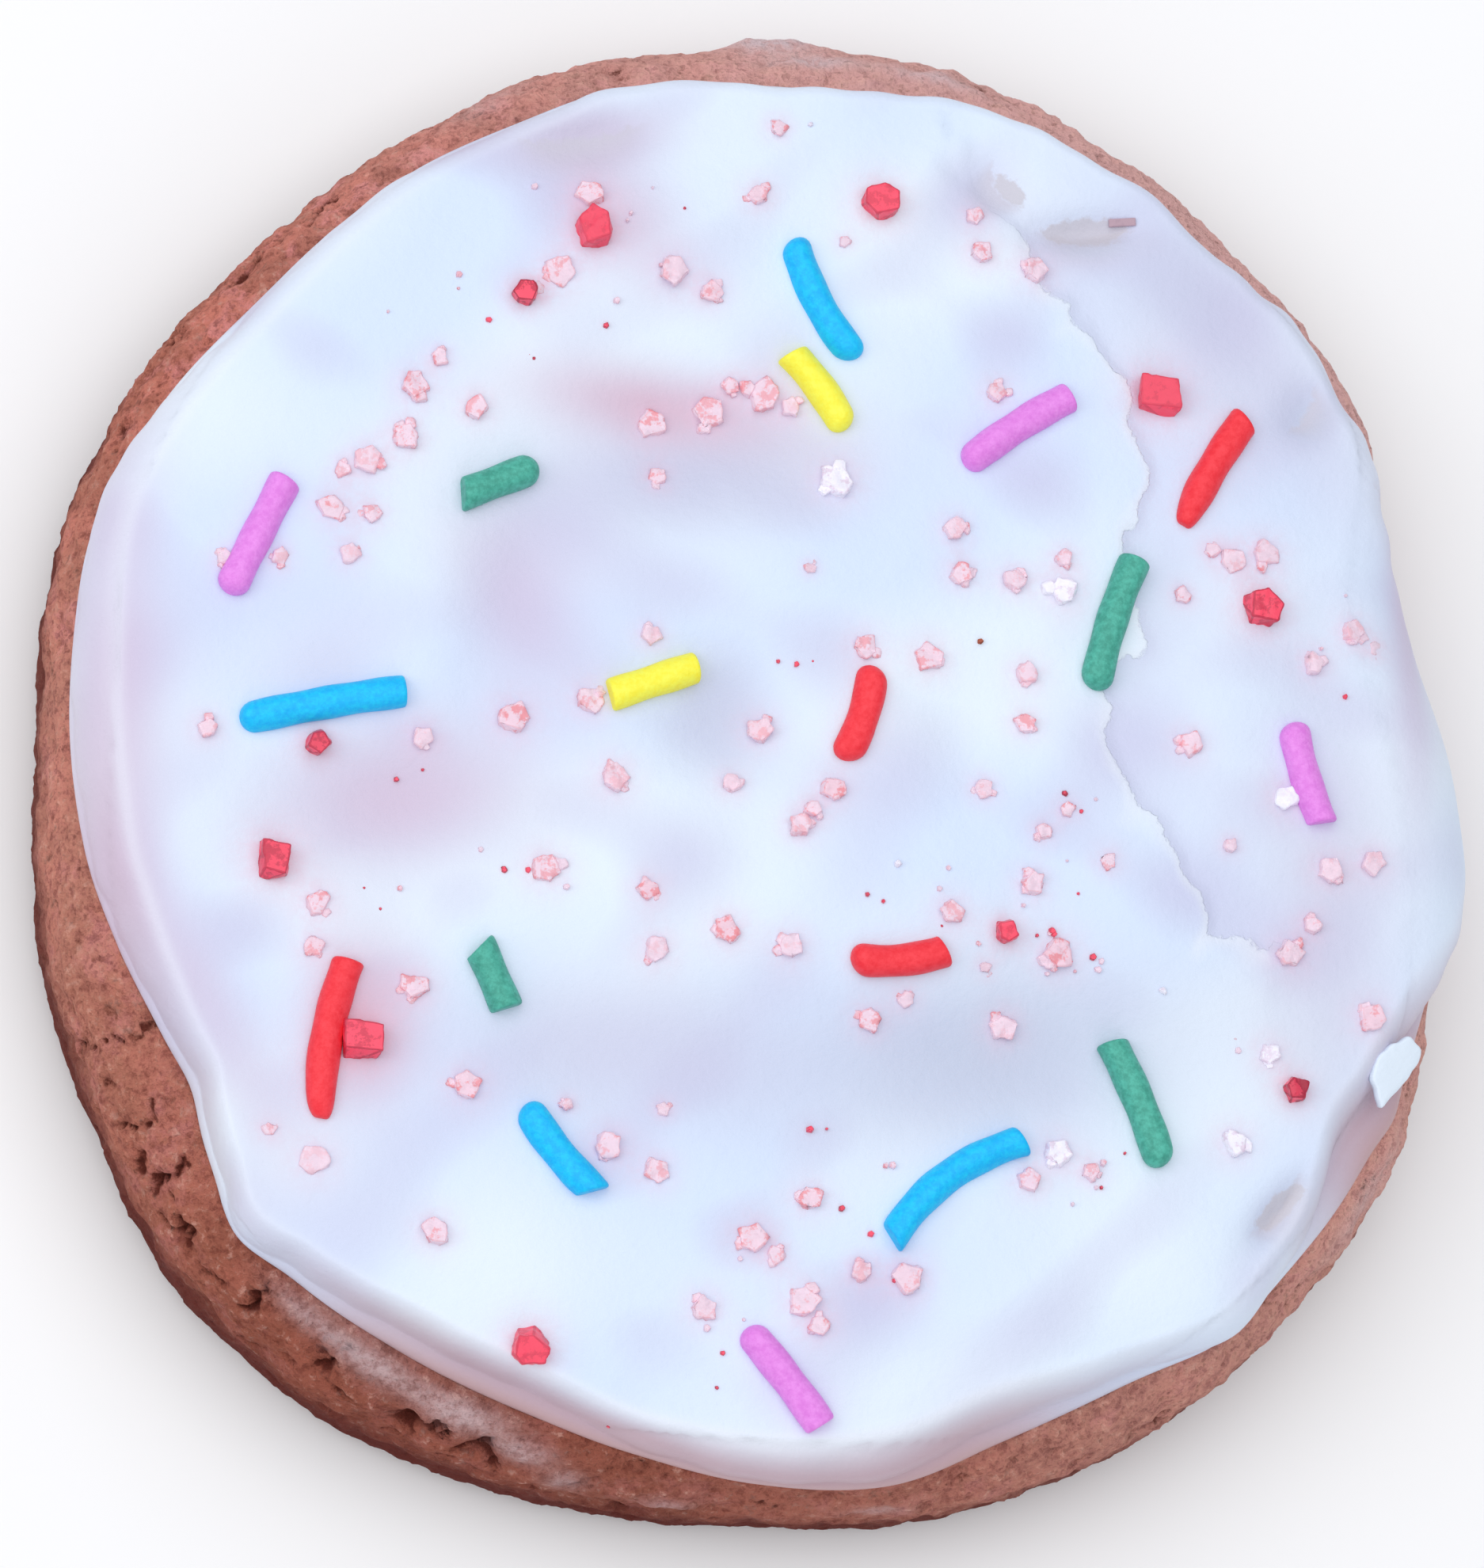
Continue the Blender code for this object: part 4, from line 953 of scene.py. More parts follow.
def step_start(x, y):
    """0 near the step's upper end, rising to 1 away from it."""
    distance = np.hypot(x - STEP_LINE[0][0], y - STEP_LINE[0][1])
    return np.clip((distance - STEP_FADE_IN) / STEP_FADE_IN, 0.0, 1.0)


def shade_tint_shares(x, y):
    """Shares of the three tints of the icing at each place, mostly painted shade in its valleys and nicks."""
    shares = np.zeros((3, len(x)))
    for centre_x, centre_y, length, width, heading, *amounts in SHADE_TINTS:
        along, across = turned(x - centre_x, y - centre_y, heading)
        shares += np.outer(amounts, np.exp(-np.square(along / length) - np.square(across / width)))
    return np.clip(shares, 0.0, 1.0)


def crack_depth(theta, points, wander):
    """Depth of the crust's cracks."""
    radius = np.hypot(points[..., 0], points[..., 1])
    depth = np.zeros(radius.shape)
    for angle, height, length, width, heading, deep in CRACKS:
        side = turn_from(theta, angle) * radius + wander[0]
        up = points[..., 2] - height + wander[1]
        along, across = turned(side, up, heading)
        share = np.exp(-np.power(np.abs(along / length), 3) - np.square(across / width))
        depth = np.maximum(depth, deep * share)
    return depth


def small_pit_depth(theta, points, wander):
    """Depth of many small pits of random size, longer along the crust than up it."""
    draw = np.random.default_rng(SEED + 9)
    radius = np.hypot(points[..., 0], points[..., 1])
    depth = np.zeros(radius.shape)
    for _ in range(SMALL_PITS):
        angle, height, length, width, deep = (draw.uniform(*limits) for limits in SMALL_PIT_LIMITS)
        near = np.abs(turn_from(theta, angle)) < math.radians(SMALL_PIT_WINDOW)
        side = (turn_from(theta, angle) * radius + wander[0])[:, near] / length
        up = (points[..., 2] - height + wander[1])[:, near] / width
        depth[:, near] = np.maximum(depth[:, near], deep * np.exp(-np.square(side) - np.square(up)))
    return depth


def grain(points):
    """Fractal noise between about -1 and 1."""
    offset = Vector(CRUST_GRAIN_OFFSET)
    flat = points.reshape(-1, 3) / CRUST_GRAIN_SPACING
    values = [noise.fractal(Vector(point) + offset, *CRUST_GRAIN_FORM) for point in flat]
    return np.array(values).reshape(points.shape[:-1])


def wanders(points):
    """Two fine random moves, which make the shapes of cracks and pits wander."""
    return [
        WANDER * waves(points, WANDER_SPACING, SEED + number)
        + FINE_WANDER * waves(points, FINE_WANDER_SPACING, SEED + number + 2)
        for number in (14, 15)
    ]


def crust_object():
    """The baked crust, with its crags, pits and cracks."""
    theta = np.linspace(0.0, FULL_TURN, CRUST_COLUMNS, endpoint=False)
    start = shoulder_start(theta)
    wall = SHOULDER_ARC + RIM_HEIGHT - SHOULDER_DROP
    s = start + wall * (1.0 - np.linspace(0.0, 1.0, CRUST_ROWS))[:, None]
    points = over_base(theta, s, 0.0)
    bare = np.clip((s - glaze_end(theta)) / CRAG_FADE + CRAG_START, 0.0, 1.0)
    low = np.clip(points[..., 2] / FOOT_HEIGHT, 0.0, 1.0)
    wander = wanders(points)
    smear = rim_spot(theta, s, *RIM_SMEAR)
    cuts = np.maximum(crack_depth(theta, points, wander), small_pit_depth(theta, points, wander)) * bare * low
    broad = (crag_relief(points) - smear) * bare * low
    rough = CRUST_GRAIN * grain(points) * bare * low
    foot = np.array([foot_ring(theta, share) for share in CRUST_FOOT_SHARES])
    dome = np.array([over_base(theta, start * share, 0.0) for share in CRUST_DOME_SHARES])
    rings = np.concatenate([foot, over_base(theta, s, rough - broad - cuts), dome])
    low_tip, high_tip = (0.0, 0.0, 0.0), (0.0, 0.0, RIM_HEIGHT + DOME_RISE)
    points = np.concatenate([[low_tip], rings.reshape(-1, 3), [high_tip]])
    obj = mesh_object("crust", points, ring_faces(CRUST_COLUMNS, len(rings)), True)
    # Painted shade in the hollows: deeper cracks, pits and crags are painted darker.
    hollow_shade = (cuts + CRAG_SHADE * broad - rough) / FULL_SHADE_DEPTH
    film = smear / FULL_SMEAR + film_share(theta, s)
    for name, values in (("hollow_shade", hollow_shade), ("film", film)):
        rows = [np.zeros(foot.shape[:2]), np.clip(values, 0.0, 1.0), np.zeros(dome.shape[:2])]
        add_values(obj, name, stack_values(0.0, np.concatenate(rows), 0.0))
    add_values(obj, "foot", np.clip((FOOT_SHADE_TOP - points[:, 2]) / FOOT_SHADE_RUN, 0.0, 1.0))
    bearing = np.arctan2(points[:, 1], points[:, 0])
    for name, curve in CRUST_TONES.items():
        add_values(obj, name, np.clip(around(curve, bearing), 0.0, 1.0))
    return obj


def foot_ring(theta, share):
    """A ring on the underside."""
    rho = (around(BASE_RADII, theta) - FOOT_INSET) * share
    return flat_points(rho * np.cos(theta), rho * np.sin(theta))


def unit(vector):
    """The vector brought to length 1."""
    return vector / np.linalg.norm(vector)


def slope_along(x, y, direction, reach):
    """A unit vector up the icing's top in a level direction, from its heights at the reach either side."""
    step = reach * direction
    rise = icing_top(x + step[0], y + step[1]) - icing_top(x - step[0], y - step[1])
    return unit(np.array([2.0 * step[0], 2.0 * step[1], float(rise)]))


def place_on_icing(points, x, y, heading, sink, reach):
    """Turns points about +Z, tilts them to the icing's slope and sets them on its top."""
    turn = math.radians(heading)
    forward = slope_along(x, y, np.array([math.cos(turn), math.sin(turn)]), reach)
    sideways = slope_along(x, y, np.array([-math.sin(turn), math.cos(turn)]), reach)
    upward = unit(np.cross(forward, sideways))
    sideways = np.cross(upward, forward)
    middle = np.array([x, y, float(icing_top(x, y))]) - sink * upward
    return np.asarray(points) @ np.stack([forward, sideways, upward]) + middle


def end_width(form, distance):
    """Share of the full width at a distance from a rod's end."""
    run, least, _ = ROD_ENDS[form]
    left = 1.0 - min(distance / run, 1.0)
    return least + (1.0 - least) * math.sqrt(1.0 - left * left)


def rod_stations(length):
    """Distances along a rod, closer together at its ends."""
    turn = np.linspace(0.0, math.pi, ROD_RINGS)
    return 0.5 * length * (1.0 - np.cos(turn))


def rod_points(number, length, bend, start_form, end_form):
    """Points of a rod lying along +X, a little uneven."""
    draw = random.Random(SEED + 31 * number)
    slant_start, slant_end = ROD_ENDS[start_form][2], ROD_ENDS[end_form][2]
    phase = draw.uniform(0.0, FULL_TURN)
    rings = []
    for station in rod_stations(length):
        share = 2.0 * station / length - 1.0
        width = min(end_width(start_form, station), end_width(end_form, length - station))
        width *= 1.0 + ROD_WAVER * math.sin(ROD_WAVER_TURN * station + phase)
        slant = slant_start * max(0.0, -share) ** ROD_SLANT_POWER
        slant += slant_end * max(0.0, share) ** ROD_SLANT_POWER
        ring = []
        for side in range(ROD_COLUMNS):
            turn = FULL_TURN * side / ROD_COLUMNS
            dent = 1.0 + ROD_DENT * math.sin(3.0 * turn + phase + 0.5 * station)
            radius = 0.5 * ROD_WIDTH * width * dent
            along = station - length / 2.0 + slant * radius * math.cos(turn)
            across = bend * (1.0 - share * share) + radius * math.cos(turn)
            ring.append((along, across, radius * math.sin(turn)))
        rings.append(ring)
    return rings


def rods_of(colour):
    """Every rod of one colour, as one piece."""
    points, faces = [], []
    for number, (name, x, y, length, heading, bend, start_form, end_form) in enumerate(RODS):
        if name != colour:
            continue
        rings = rod_points(number, length, bend, start_form, end_form)
        caps = [np.mean(rings[0], axis=0), np.mean(rings[-1], axis=0)]
        flat = np.concatenate([[caps[0]], *rings, [caps[1]]])
        sink = 0.5 * ROD_WIDTH * (2.0 * ROD_SINK - 1.0)
        flat = place_on_icing(flat, x, y, heading, sink, ROD_SPAN * length)
        first = sum(len(part) for part in points)
        faces += [tuple(first + corner for corner in face) for face in ring_faces(ROD_COLUMNS, len(rings))]
        points.append(flat)
    return mesh_object(f"{colour}_rods", np.concatenate(points), faces, True)


def lump_points(draw, place, width, height, sides, heading, stand, top):
    """An angular lump with a narrower flat top that leans, standing a share of its height above the icing."""
    lean_x, lean_y = draw.uniform(-LUMP_LEAN, LUMP_LEAN), draw.uniform(-LUMP_LEAN, LUMP_LEAN)
    points = []
    for level, share in ((-0.5, 1.0), (0.5, top)):
        for side in range(sides):
            turn = FULL_TURN * (side + draw.uniform(-LUMP_TURN, LUMP_TURN)) / sides
            radius = 0.5 * width * share * draw.uniform(*LUMP_WIDTH)
            x, y = radius * math.cos(turn), radius * math.sin(turn)
            points.append((x, y, level * height + (level + 0.5) * (lean_x * x + lean_y * y)))
    return place_on_icing(points, *place, heading, height * (0.5 - stand), width / 2.0)


def add_hulls(work, clouds, draw, whole):
    """Adds the hull of each cloud of points, and keeps one random tone for each."""
    for cloud in clouds:
        tone = LEAST_TONE + draw.random()
        made = bmesh.ops.convex_hull(work, input=[work.verts.new(tuple(point)) for point in cloud])
        loose = made["geom_interior"] + made["geom_unused"]
        inside = [item for item in loose if isinstance(item, bmesh.types.BMVert)]
        bmesh.ops.delete(work, geom=inside, context="VERTS")
        for face in work.faces:
            if face[whole] == 0.0:
                face[whole] = tone


def wear_edges(work, bevel, draw, facet):
    """Rounds the edges off, and keeps a random tone for each face and 1 for each worn edge."""
    flat = math.radians(ONE_FACE_ANGLE)
    bmesh.ops.dissolve_limit(work, angle_limit=flat, verts=work.verts, edges=work.edges)
    for face in work.faces:
        face[facet] = FACET_TONE * draw.random()
    worn = bmesh.ops.bevel(
        work, geom=list(work.edges), offset=bevel, segments=WORN_ROUNDS, affect="EDGES",
        profile=WORN_ROUNDNESS, clamp_overlap=True,
    )
    for face in worn["faces"]:
        face[facet] = 1.0
    bmesh.ops.triangulate(work, faces=list(work.faces))


def hull_piece(name, clouds, bevel, crumb):
    """One piece of angular grains, each the hull of a cloud of points with its edges worn round."""
    work = bmesh.new()
    facet = work.faces.layers.float.new("facet")
    whole = work.faces.layers.float.new("whole")
    draw = random.Random(SEED + len(clouds))
    add_hulls(work, clouds, draw, whole)
    wear_edges(work, bevel, draw, facet)
    if crumb:
        make_lumpy(work, crumb)
    placing = Matrix.Scale(MM, 4) @ Matrix.Translation((*CENTRE_SHIFT, 0.0))
    bmesh.ops.transform(work, matrix=placing, verts=work.verts)
    mesh = bpy.data.meshes.new(name)
    work.to_mesh(mesh)
    work.free()
    if crumb:
        mesh.polygons.foreach_set("use_smooth", [True] * len(mesh.polygons))
    return link_object(name, mesh)


def make_lumpy(work, depth):
    """Cuts long edges up, then pushes the points in and out by an uneven crumb."""
    for _ in range(LUMPY_CUTS):
        long = [edge for edge in work.edges if edge.calc_length() > LUMPY_EDGE]
        bmesh.ops.subdivide_edges(work, edges=long, cuts=1)
        bmesh.ops.triangulate(work, faces=list(work.faces))
    work.normal_update()
    rise, fall, fine_share = LUMPY_FORM
    moves = []
    for vertex in work.verts:
        near = noise.voronoi(vertex.co / LUMPY_GRAIN)[0]
        fine = noise.noise(vertex.co / LUMPY_FINE)
        moves.append(vertex.normal * depth * (rise - fall * near[0] + fine_share * fine))
    for vertex, move in zip(work.verts, moves):
        vertex.co += move


def loose_grain(draw, x, y, width, height, sides=LOOSE_SIDES):
    """A small grain that lies loose on the icing."""
    return lump_points(draw, (x, y), width, height, sides, 0.0, LOOSE_STAND, LOOSE_TOP)


def chip_and_crystal_clouds():
    """Clouds of points for the chips and for the crystals."""
    draw = random.Random(SEED)
    chips = [
        lump_points(draw, (x, y), width, CHIP_HEIGHT, sides, heading, CHIP_STAND, CHIP_TOP)
        for x, y, width, sides, heading in CHIPS
    ]
    beside = random.Random(SEED + 3)
    pink, white = [], []
    for x, y, width in CRYSTALS:
        grains = white if (x, y) in WHITE_CRYSTALS else pink
        grains.extend(cluster_clouds(draw, beside, x, y, width, CRYSTAL_HEIGHT))
    for x, y, width in SMALL_CRYSTALS:
        pink.extend(cluster_clouds(draw, beside, x, y, width, CRYSTAL_FLATNESS * width))
    for x, y, width in GLINTS:
        white.append(loose_grain(beside, x, y, width, width, GLINT_SIDES))
    return chips, pink, white


def cluster_clouds(draw, beside, x, y, width, height):
    """A sugar crystal: a broad grain, sometimes with smaller ones grown onto its sides."""
    heading = draw.uniform(0.0, 360.0)
    clouds = [lump_points(draw, (x, y), width, height, CRYSTAL_SIDES, heading, CRYSTAL_STAND, CRYSTAL_TOP)]
    for _ in range(beside.choice(CRYSTAL_GRAINS)):
        turn = beside.uniform(0.0, FULL_TURN)
        reach = width * beside.uniform(*SIDE_GRAIN_REACH)
        size = width * beside.uniform(*SIDE_GRAIN_WIDTH)
        place = (x + reach * math.cos(turn), y + reach * math.sin(turn))
        stand = CRYSTAL_STAND * beside.uniform(*SIDE_GRAIN_STAND)
        side_heading = heading + SIDE_GRAIN_TURN
        height = LOOSE_FLATNESS * size
        clouds.append(lump_points(beside, place, size, height, LOOSE_SIDES, side_heading, stand, LOOSE_TOP))
    return clouds


def speck_clouds():
    """Clouds of points for the pink and for the red specks."""
    draw = random.Random(SEED + 1)
    pink, red = [], []
    for centre_x, centre_y, count, away, red_share in SPECKS:
        for _ in range(count):
            x = centre_x + draw.gauss(0.0, away)
            y = centre_y + draw.gauss(0.0, away)
            width = SPECK_WIDTH * draw.uniform(*SPECK_SPREAD)
            cloud = loose_grain(draw, x, y, width, LOOSE_FLATNESS * width)
            (red if draw.random() < red_share else pink).append(cloud)
    return pink, red


def stick_points():
    """Corners of the short stick, lying in the icing."""
    x, y, length, width, heading, sink = STICK
    sides = (-0.5, 0.5)
    corners = [(a * length, b * width, c * width) for a in sides for b in sides for c in sides]
    return place_on_icing(corners, x, y, heading, sink * width, 0.5 * length)


def hull_clouds():
    """The clouds of points of every piece made of hulls."""
    chips, pink, white = chip_and_crystal_clouds()
    pink_specks, red_specks = speck_clouds()
    draw = random.Random(SEED + 4)
    return {
        "red_chips": chips,
        "pink_crystals": pink,
        "white_crystals": white,
        "crumbs": [loose_grain(draw, x, y, width, width) for x, y, width in CRUMBS],
        "stick": [stick_points()],
        "pink_specks": pink_specks,
        "red_specks": red_specks,
    }


def flake_outline():
    """The flake's outline with points along its sides, its corners worn and its sides a little uneven."""
    corners = np.array(FLAKE_OUTLINE)
    shares = np.arange(FLAKE_POINTS_ALONG)[:, None] / FLAKE_POINTS_ALONG
    sides = [a + (b - a) * shares for a, b in zip(corners, np.roll(corners, -1, axis=0))]
    line = np.concatenate(sides)
    line = (np.roll(line, 1, axis=0) + line + np.roll(line, -1, axis=0)) / 3.0
    uneven = waves(np.column_stack([line, np.zeros(len(line))]), FLAKE_WEAR_SPACING, SEED + 6)
    return line * (1.0 + FLAKE_WEAR * uneven[:, None])


def flake_object():
    """The broken flake of icing that stands off the edge."""
    theta = math.radians(FLAKE_ANGLE)
    middle = over_base(theta, shoulder_start(theta) + FLAKE_REACH, FLAKE_LIFT)
    tilt = math.radians(FLAKE_TILT)
    outward = np.array([math.cos(theta), math.sin(theta), 0.0])
    around_edge = np.array([-outward[1], outward[0], 0.0])
    forward = outward * math.cos(tilt) + np.array([0.0, 0.0, math.sin(tilt)])
    upward = np.cross(forward, around_edge)
    outline = flake_outline()
    rings = [
        middle + share * (outline @ np.stack([forward, around_edge])) + level * FLAKE_THICKNESS * upward
        for level, share in FLAKE_RIM
    ]
    low, high = (middle + level * FLAKE_THICKNESS * upward for level in FLAKE_MIDDLES)
    points = np.concatenate([[low], *rings, [high]])
    return mesh_object("icing_flake", points, ring_faces(len(outline), len(rings)), True)


class Look:
    """A material in the making: its nodes, and the colour it has so far."""

    def __init__(self, name, colour):
        self.material = bpy.data.materials.new(name)
        self.material.use_nodes = True
        self.tree = self.material.node_tree
        self.shader = self.tree.nodes["Principled BSDF"]
        self.colour = colour

    def feed(self, socket, value):
        """Gives a socket a number or a colour, or links it to another node's output."""
        if isinstance(value, (int, float)):
            socket.default_value = value
        elif isinstance(value, tuple):
            socket.default_value = (*value, 1.0)
        else:
            self.tree.links.new(value, socket)

    def node(self, kind, inputs, **settings):
        """A new node with its settings and its inputs."""
        node = self.tree.nodes.new(f"ShaderNode{kind}")
        for name, setting in settings.items():
            setattr(node, name, setting)
        for socket, value in inputs.items():
            self.feed(node.inputs[socket], value)
        return node

    def place(self):
        """Places on the object, in metres."""
        return self.node("TexCoord", {}).outputs["Object"]

    def noise(self, scale, detail, rough):
        """Noise between 0 and 1; the scale is in waves per metre."""
        inputs = {"Vector": self.place(), "Scale": scale, "Detail": detail, "Roughness": rough}
        return self.node("TexNoise", inputs).outputs["Fac"]

    def cells(self, scale):
        """A random value for each grain of a crumb, and the distance from the grain's middle."""
        cells = self.node("TexVoronoi", {"Vector": self.place(), "Scale": scale})
        split = self.node("SeparateColor", {"Color": cells.outputs["Color"]})
        return split.outputs["Red"], cells.outputs["Distance"]

    def value(self, name):
        """A number stored in the mesh."""
        return self.node("Attribute", {}, attribute_name=name).outputs["Fac"]

    def spread(self, value, low, high, new_low=0.0, new_high=1.0):
        """A value stretched softly from one range to another."""
        inputs = {"Value": value, "From Min": low, "From Max": high, "To Min": new_low, "To Max": new_high}
        return self.node("MapRange", inputs, interpolation_type="SMOOTHSTEP").outputs["Result"]

    def combine(self, operation, first, second, clamp=True):
        """Arithmetic on two values, kept between 0 and 1 if clamped."""
        node = self.node("Math", {0: first, 1: second}, operation=operation, use_clamp=clamp)
        return node.outputs["Value"]

    def times(self, first, second):
        """The product of two values."""
        return self.combine("MULTIPLY", first, second)

    def frayed(self, name, fine, reach):
        """A number stored in the mesh, moved up and down by noise so that its edges fray."""
        sway = self.spread(fine, *FRAY, -reach, reach)
        return self.combine("ADD", self.value(name), sway, clamp=False)

    def line(self, name, fine, reach, soft):
        """1 on the left of a line in the mesh and 0 on its right, with a frayed edge."""
        return self.spread(self.frayed(name, fine, reach), -soft, soft)

    def lay(self, share, colour):
        """Blends a share of a colour over the colour so far."""
        node = self.node("Mix", {0: share, 6: self.colour, 7: colour}, data_type="RGBA")
        self.colour = node.outputs[2]

    def finish(self, sheen, relief=()):
        """The material, with its sheen, and fine relief from pairs of a value and a height in metres."""
        roughness, mirror = sheen
        inputs = {"Base Color": self.colour, "Roughness": roughness, "Specular IOR Level": mirror}
        normal = {}
        for value, height in relief:
            node = self.node("Bump", {"Distance": height, "Height": value, **normal})
            normal = {"Normal": node.outputs["Normal"]}
        for name, value in {**inputs, **normal}.items():
            self.feed(self.shader.inputs[name], value)
        return self.material


def icing_material():
    """Pale icing with tints and patches that are mostly painted shade, stains, a step line and nicks with
    painted shade, painted highlights along the step and the lip, and a thin, glazed edge.
    """
    look = Look("sugar_icing", ICING_WHITE)
    fine = look.noise(*ICING_NOISE)
    # Slow random blue and lavender, then tints that are mostly painted shade in the valleys and nicks.
    tints = {"drift": ICING_BLUE, "cloud": ICING_LAVENDER}
    tints.update(lavender=ICING_LAVENDER, pink=ICING_PINK, grey=ICING_SHADE_GREY)
    for name, tint in tints.items():
        look.lay(look.value(name), tint)
    raised = look.line("layer", fine, *STEP_FRAY)
    beside = look.value("layer_share")
    low = look.combine("SUBTRACT", beside, raised)
    look.lay(look.times(low, STEP_SHADING), STEP_SHADE)
    crest = look.times(look.spread(beside, *STEP_CREST), raised)
    look.lay(look.times(crest, STEP_GLEAM), ICING_GLEAM)
    outside = look.line("nick", fine, *NICK_FRAY)
    # Painted shade on the soft side of each nick.
    hollow_shade = look.combine("SUBTRACT", look.spread(look.value("nick_share"), *NICK_RANGE), outside)
    look.lay(look.times(hollow_shade, NICK_SHADING), NICK_SHADE)
    # Painted shade in the nicks and the groove, partly the dull beige of scraped icing.
    look.lay(look.spread(look.frayed("patch", fine, PATCH_FRAY), *PATCH_RANGE), PATCH_SHADE)
    look.lay(look.times(look.value("blush"), look.spread(fine, *STAIN_RANGE)), ICING_BLUSH)
    look.lay(look.value("thin"), GLAZE_COLOUR)
    look.lay(look.spread(look.value("feather"), *FEATHER_RANGE), GLAZE_EDGE)
    look.lay(look.times(look.value("gleam"), RIDGE_GLEAM), ICING_GLEAM)
    return look.finish(ICING_SHEEN, ((fine, ICING_BUMP), (low, STEP_BUMP)))


def crust_material():
    """Baked crumb: browns that vary round the cookie, painted shade on its lower-left side and in its
    hollows, a foot darker towards the bottom, and films of icing.
    """
    look = Look("baked_crumb", CRUST_BROWN)
    grains, edges = look.cells(CRUMB_CELLS)
    fine = look.noise(*CRUST_NOISE)
    pale = look.value("pale")
    look.lay(look.spread(look.noise(*CRUST_CLOUDS), *CRUST_CLOUD_RANGE), CRUST_DARK)
    look.lay(look.spread(look.noise(*CRUST_BLUSH), *CRUST_BLUSH_RANGE), CRUST_PINKISH)
    look.lay(look.times(look.value("orange"), look.spread(fine, *AMBER_RANGE)), CRUST_AMBER)
    look.lay(pale, CRUST_TAN)
    # Darker on the lower-left side: partly painted shade, partly the crust's own baked colour.
    look.lay(look.times(look.value("dusk"), DUSK_SHADING), CRUST_SHADE)
    rough = look.spread(pale, *PALE_RANGE, *ROUGH_SPECK_PALE)
    look.lay(look.times(look.spread(fine, *ROUGH_SPECK_RANGE), rough), CRUST_DEEP)
    look.lay(look.spread(fine, *GRAIN_RANGE), CRUST_GRAINS)
    look.lay(look.spread(grains, *CELL_RANGE), CRUST_DEEP)
    # Darker towards the bottom: partly a well-baked foot, partly painted shade on the lower wall.
    foot = look.spread(look.value("foot"), *FOOT_RANGE)
    look.lay(look.times(foot, look.spread(pale, *PALE_RANGE, *FOOT_PALE)), CRUST_MAROON)
    look.lay(look.spread(look.frayed("hollow_shade", fine, HOLLOW_FRAY), *HOLLOW_RANGE), CRUST_DEEP)
    look.lay(look.times(look.value("film"), look.spread(fine, *FILM_RANGE)), FILM_COLOUR)
    return look.finish(CRUST_SHEEN, ((edges, CELL_BUMP), (fine, CRUST_BUMP)))


def rod_material(name, light, dark):
    """Pressed sugar of one colour, a little uneven."""
    look = Look(f"{name}_sprinkle", dark)
    look.lay(look.spread(look.noise(*ROD_NOISE), *ROD_RANGE), light)
    return look.finish(ROD_SHEEN, ((look.noise(*ROD_GRAIN), CANDY_BUMP),))


def candy_material(name, light, dark, clear, outline):
    """Hard candy or sugar: grains and patches a little lighter or darker, and darker worn edges that are
    partly painted shade.
    """
    look = Look(name, light)
    patches = look.spread(look.noise(*CANDY_NOISE), *CANDY_PATCH_RANGE)
    # Worn edges painted darker: partly the candy's own darker edges, partly painted shade round each grain.
    facets = look.spread(look.value("facet"), *FACET_RANGE, 0.0, FACET_SHADING * outline)
    share = look.combine("ADD", look.times(patches, CANDY_PATCHES), facets)
    look.lay(look.times(share, look.spread(look.value("whole"), *TONE_RANGE)), dark)
    look.shader.subsurface_method = "BURLEY"
    look.shader.inputs["Subsurface Radius"].default_value = GLOW_REACH
    look.feed(look.shader.inputs["Subsurface Weight"], clear)
    look.feed(look.shader.inputs["Subsurface Scale"], GLOW_DEPTH)
    return look.finish(CANDY_SHEEN, ((look.noise(*CANDY_GRAIN), CANDY_BUMP),))


def floor_material():
    """A pale, nearly plain floor."""
    look = Look("pale_floor", FLOOR_LIGHT)
    look.lay(look.noise(*FLOOR_NOISE), FLOOR_DARK)
    return look.finish(FLOOR_SHEEN)


def add_lights():
    """Soft lights above and beside the cookie, and an even light all round."""
    for name, place, size, power, colour in LIGHTS:
        light = bpy.data.lights.new(name, "AREA")
        light.size = size
        light.energy = power
        light.color = colour
        lamp = link_object(name, light)
        lamp.location = place
        lamp.rotation_euler = (-Vector(place)).to_track_quat("-Z", "Y").to_euler()
    world = bpy.data.worlds.new("studio")
    world.use_nodes = True
    background = world.node_tree.nodes["Background"]
    background.inputs["Color"].default_value = (*WORLD_LIGHT, 1.0)
    background.inputs["Strength"].default_value = WORLD_STRENGTH
    bpy.context.scene.world = world


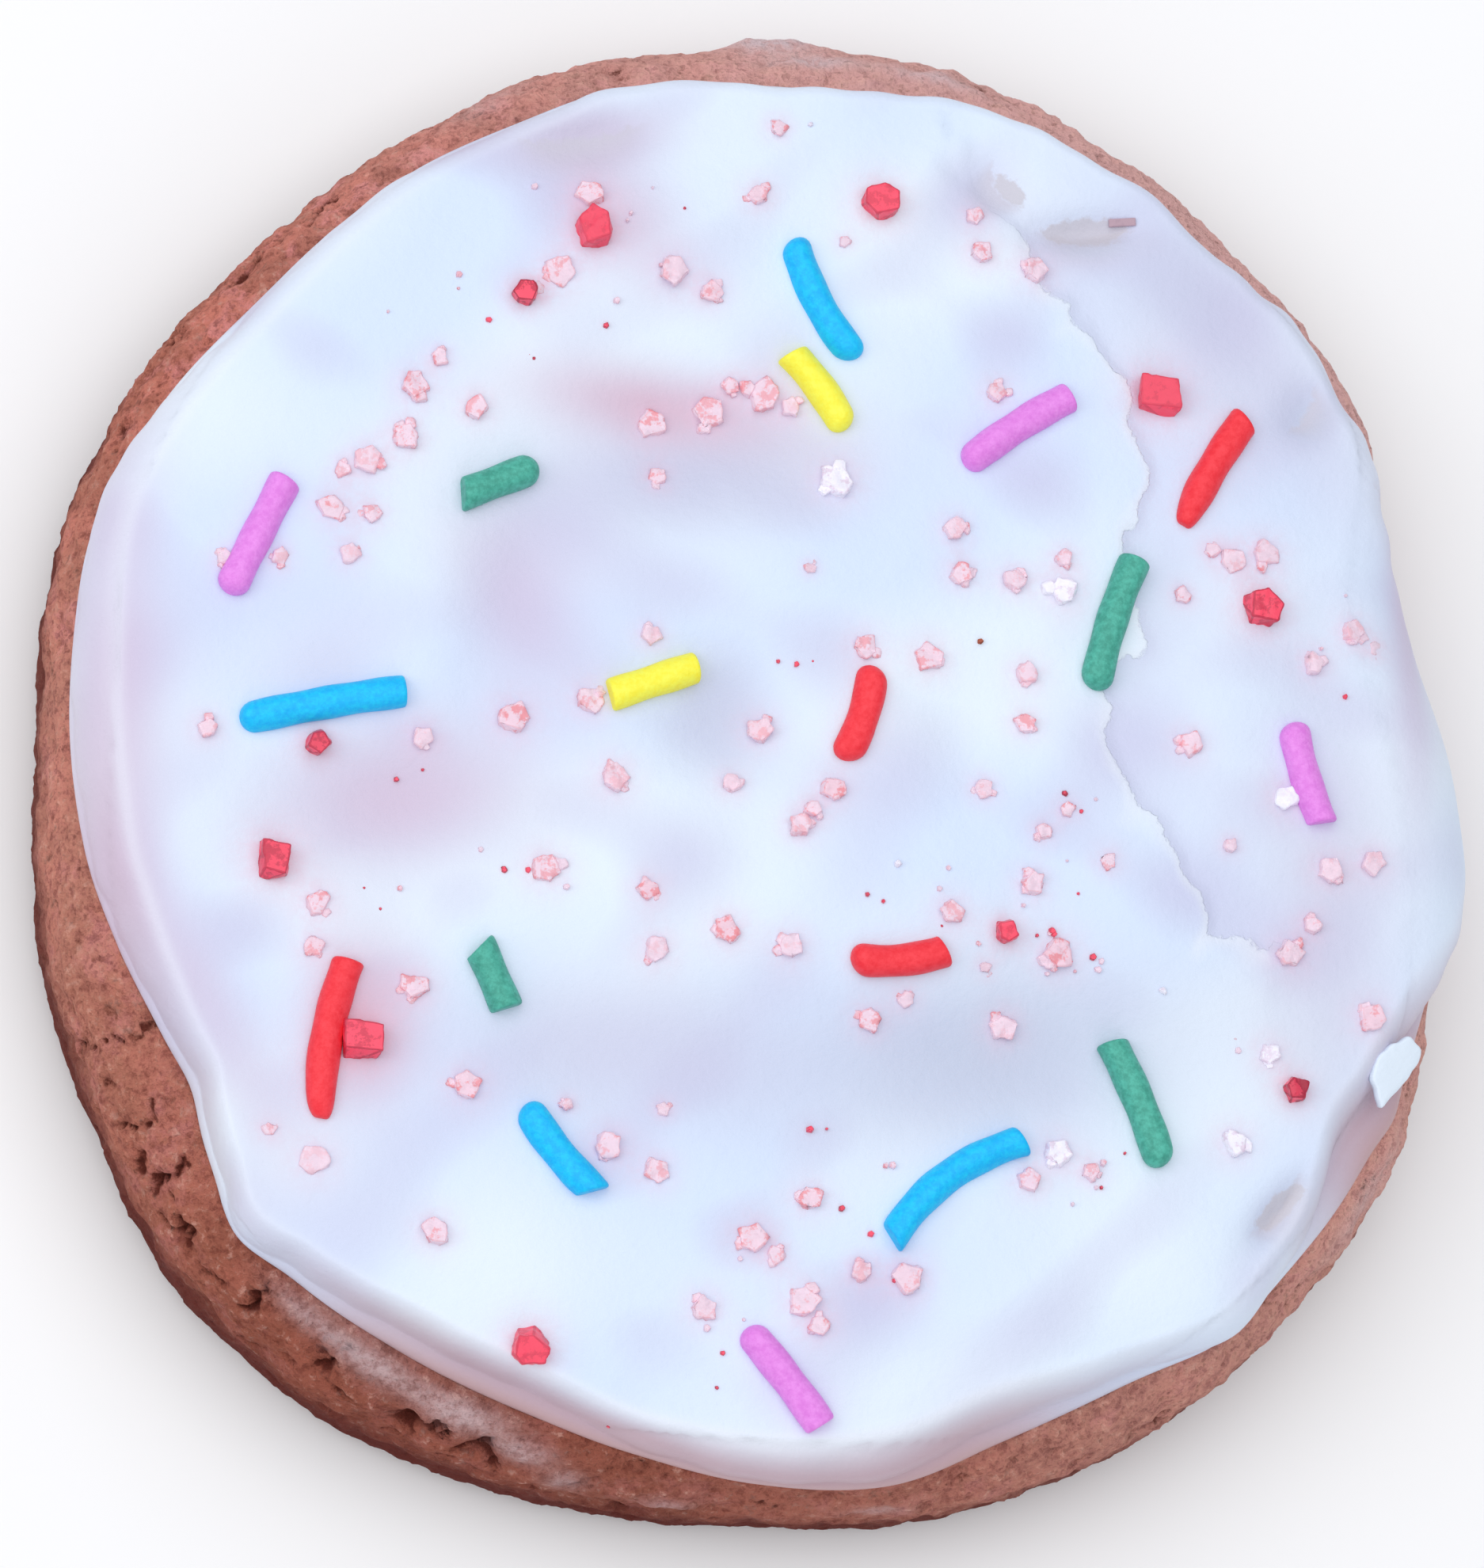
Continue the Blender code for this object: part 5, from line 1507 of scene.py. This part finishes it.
def add_camera():
    """A long lens, so that the view is nearly without perspective."""
    lean, side = math.radians(CAMERA_TILT), math.radians(CAMERA_SIDE)
    away = Vector((math.sin(lean) * math.cos(side), math.sin(lean) * math.sin(side), math.cos(lean)))
    right = Vector((0.0, 1.0, 0.0)).cross(away).normalized()
    up = away.cross(right)
    target = Vector(CAMERA_TARGET) + Vector((*CENTRE_SHIFT, 0.0))
    data = bpy.data.cameras.new("camera")
    data.sensor_fit = "HORIZONTAL"
    data.sensor_width = SENSOR_WIDTH
    data.lens = SENSOR_WIDTH * CAMERA_DISTANCE / FRAME_WIDTH
    data.clip_start = CAMERA_NEAR
    camera = link_object("camera", data)
    place = (target + away * CAMERA_DISTANCE) * MM
    turn = Matrix((right, up, away)).transposed().to_4x4()
    camera.matrix_world = Matrix.Translation(place) @ turn
    bpy.context.scene.camera = camera


def add_floor():
    """A wide floor under the cookie."""
    half = FLOOR_SIZE / 2.0
    mesh = bpy.data.meshes.new("floor")
    corners = [(-half, -half, 0.0), (half, -half, 0.0), (half, half, 0.0), (-half, half, 0.0)]
    mesh.from_pydata(corners, [], [(0, 1, 2, 3)])
    floor = link_object("floor", mesh)
    floor.data.materials.append(floor_material())


def dress(piece, material, node):
    """Gives a piece its material, and ties it to the model."""
    piece.data.materials.clear()
    piece.data.materials.append(material)
    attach(piece, "root")
    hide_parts(node)


def add_pieces():
    """Every piece of the cookie, dressed."""
    dress(crust_object(), crust_material(), "cookie_base")
    icing = icing_material()
    dress(icing_object(), icing, "icing")
    for colour, (light, dark) in ROD_COLOURS.items():
        dress(rods_of(colour), rod_material(colour, light, dark), "icing")
    dress(flake_object(), icing, "icing")
    materials = {name: candy_material(name, *values) for name, values in CANDIES.items()}
    materials["crumb"] = crust_material()
    clouds = hull_clouds()
    for name, (material, bevel, crumb) in HULL_PIECES.items():
        dress(hull_piece(name, clouds[name], bevel, crumb), materials[material], "icing")


add_pieces()
add_floor()
add_lights()
add_camera()
bpy.context.scene.view_settings.view_transform = "Standard"
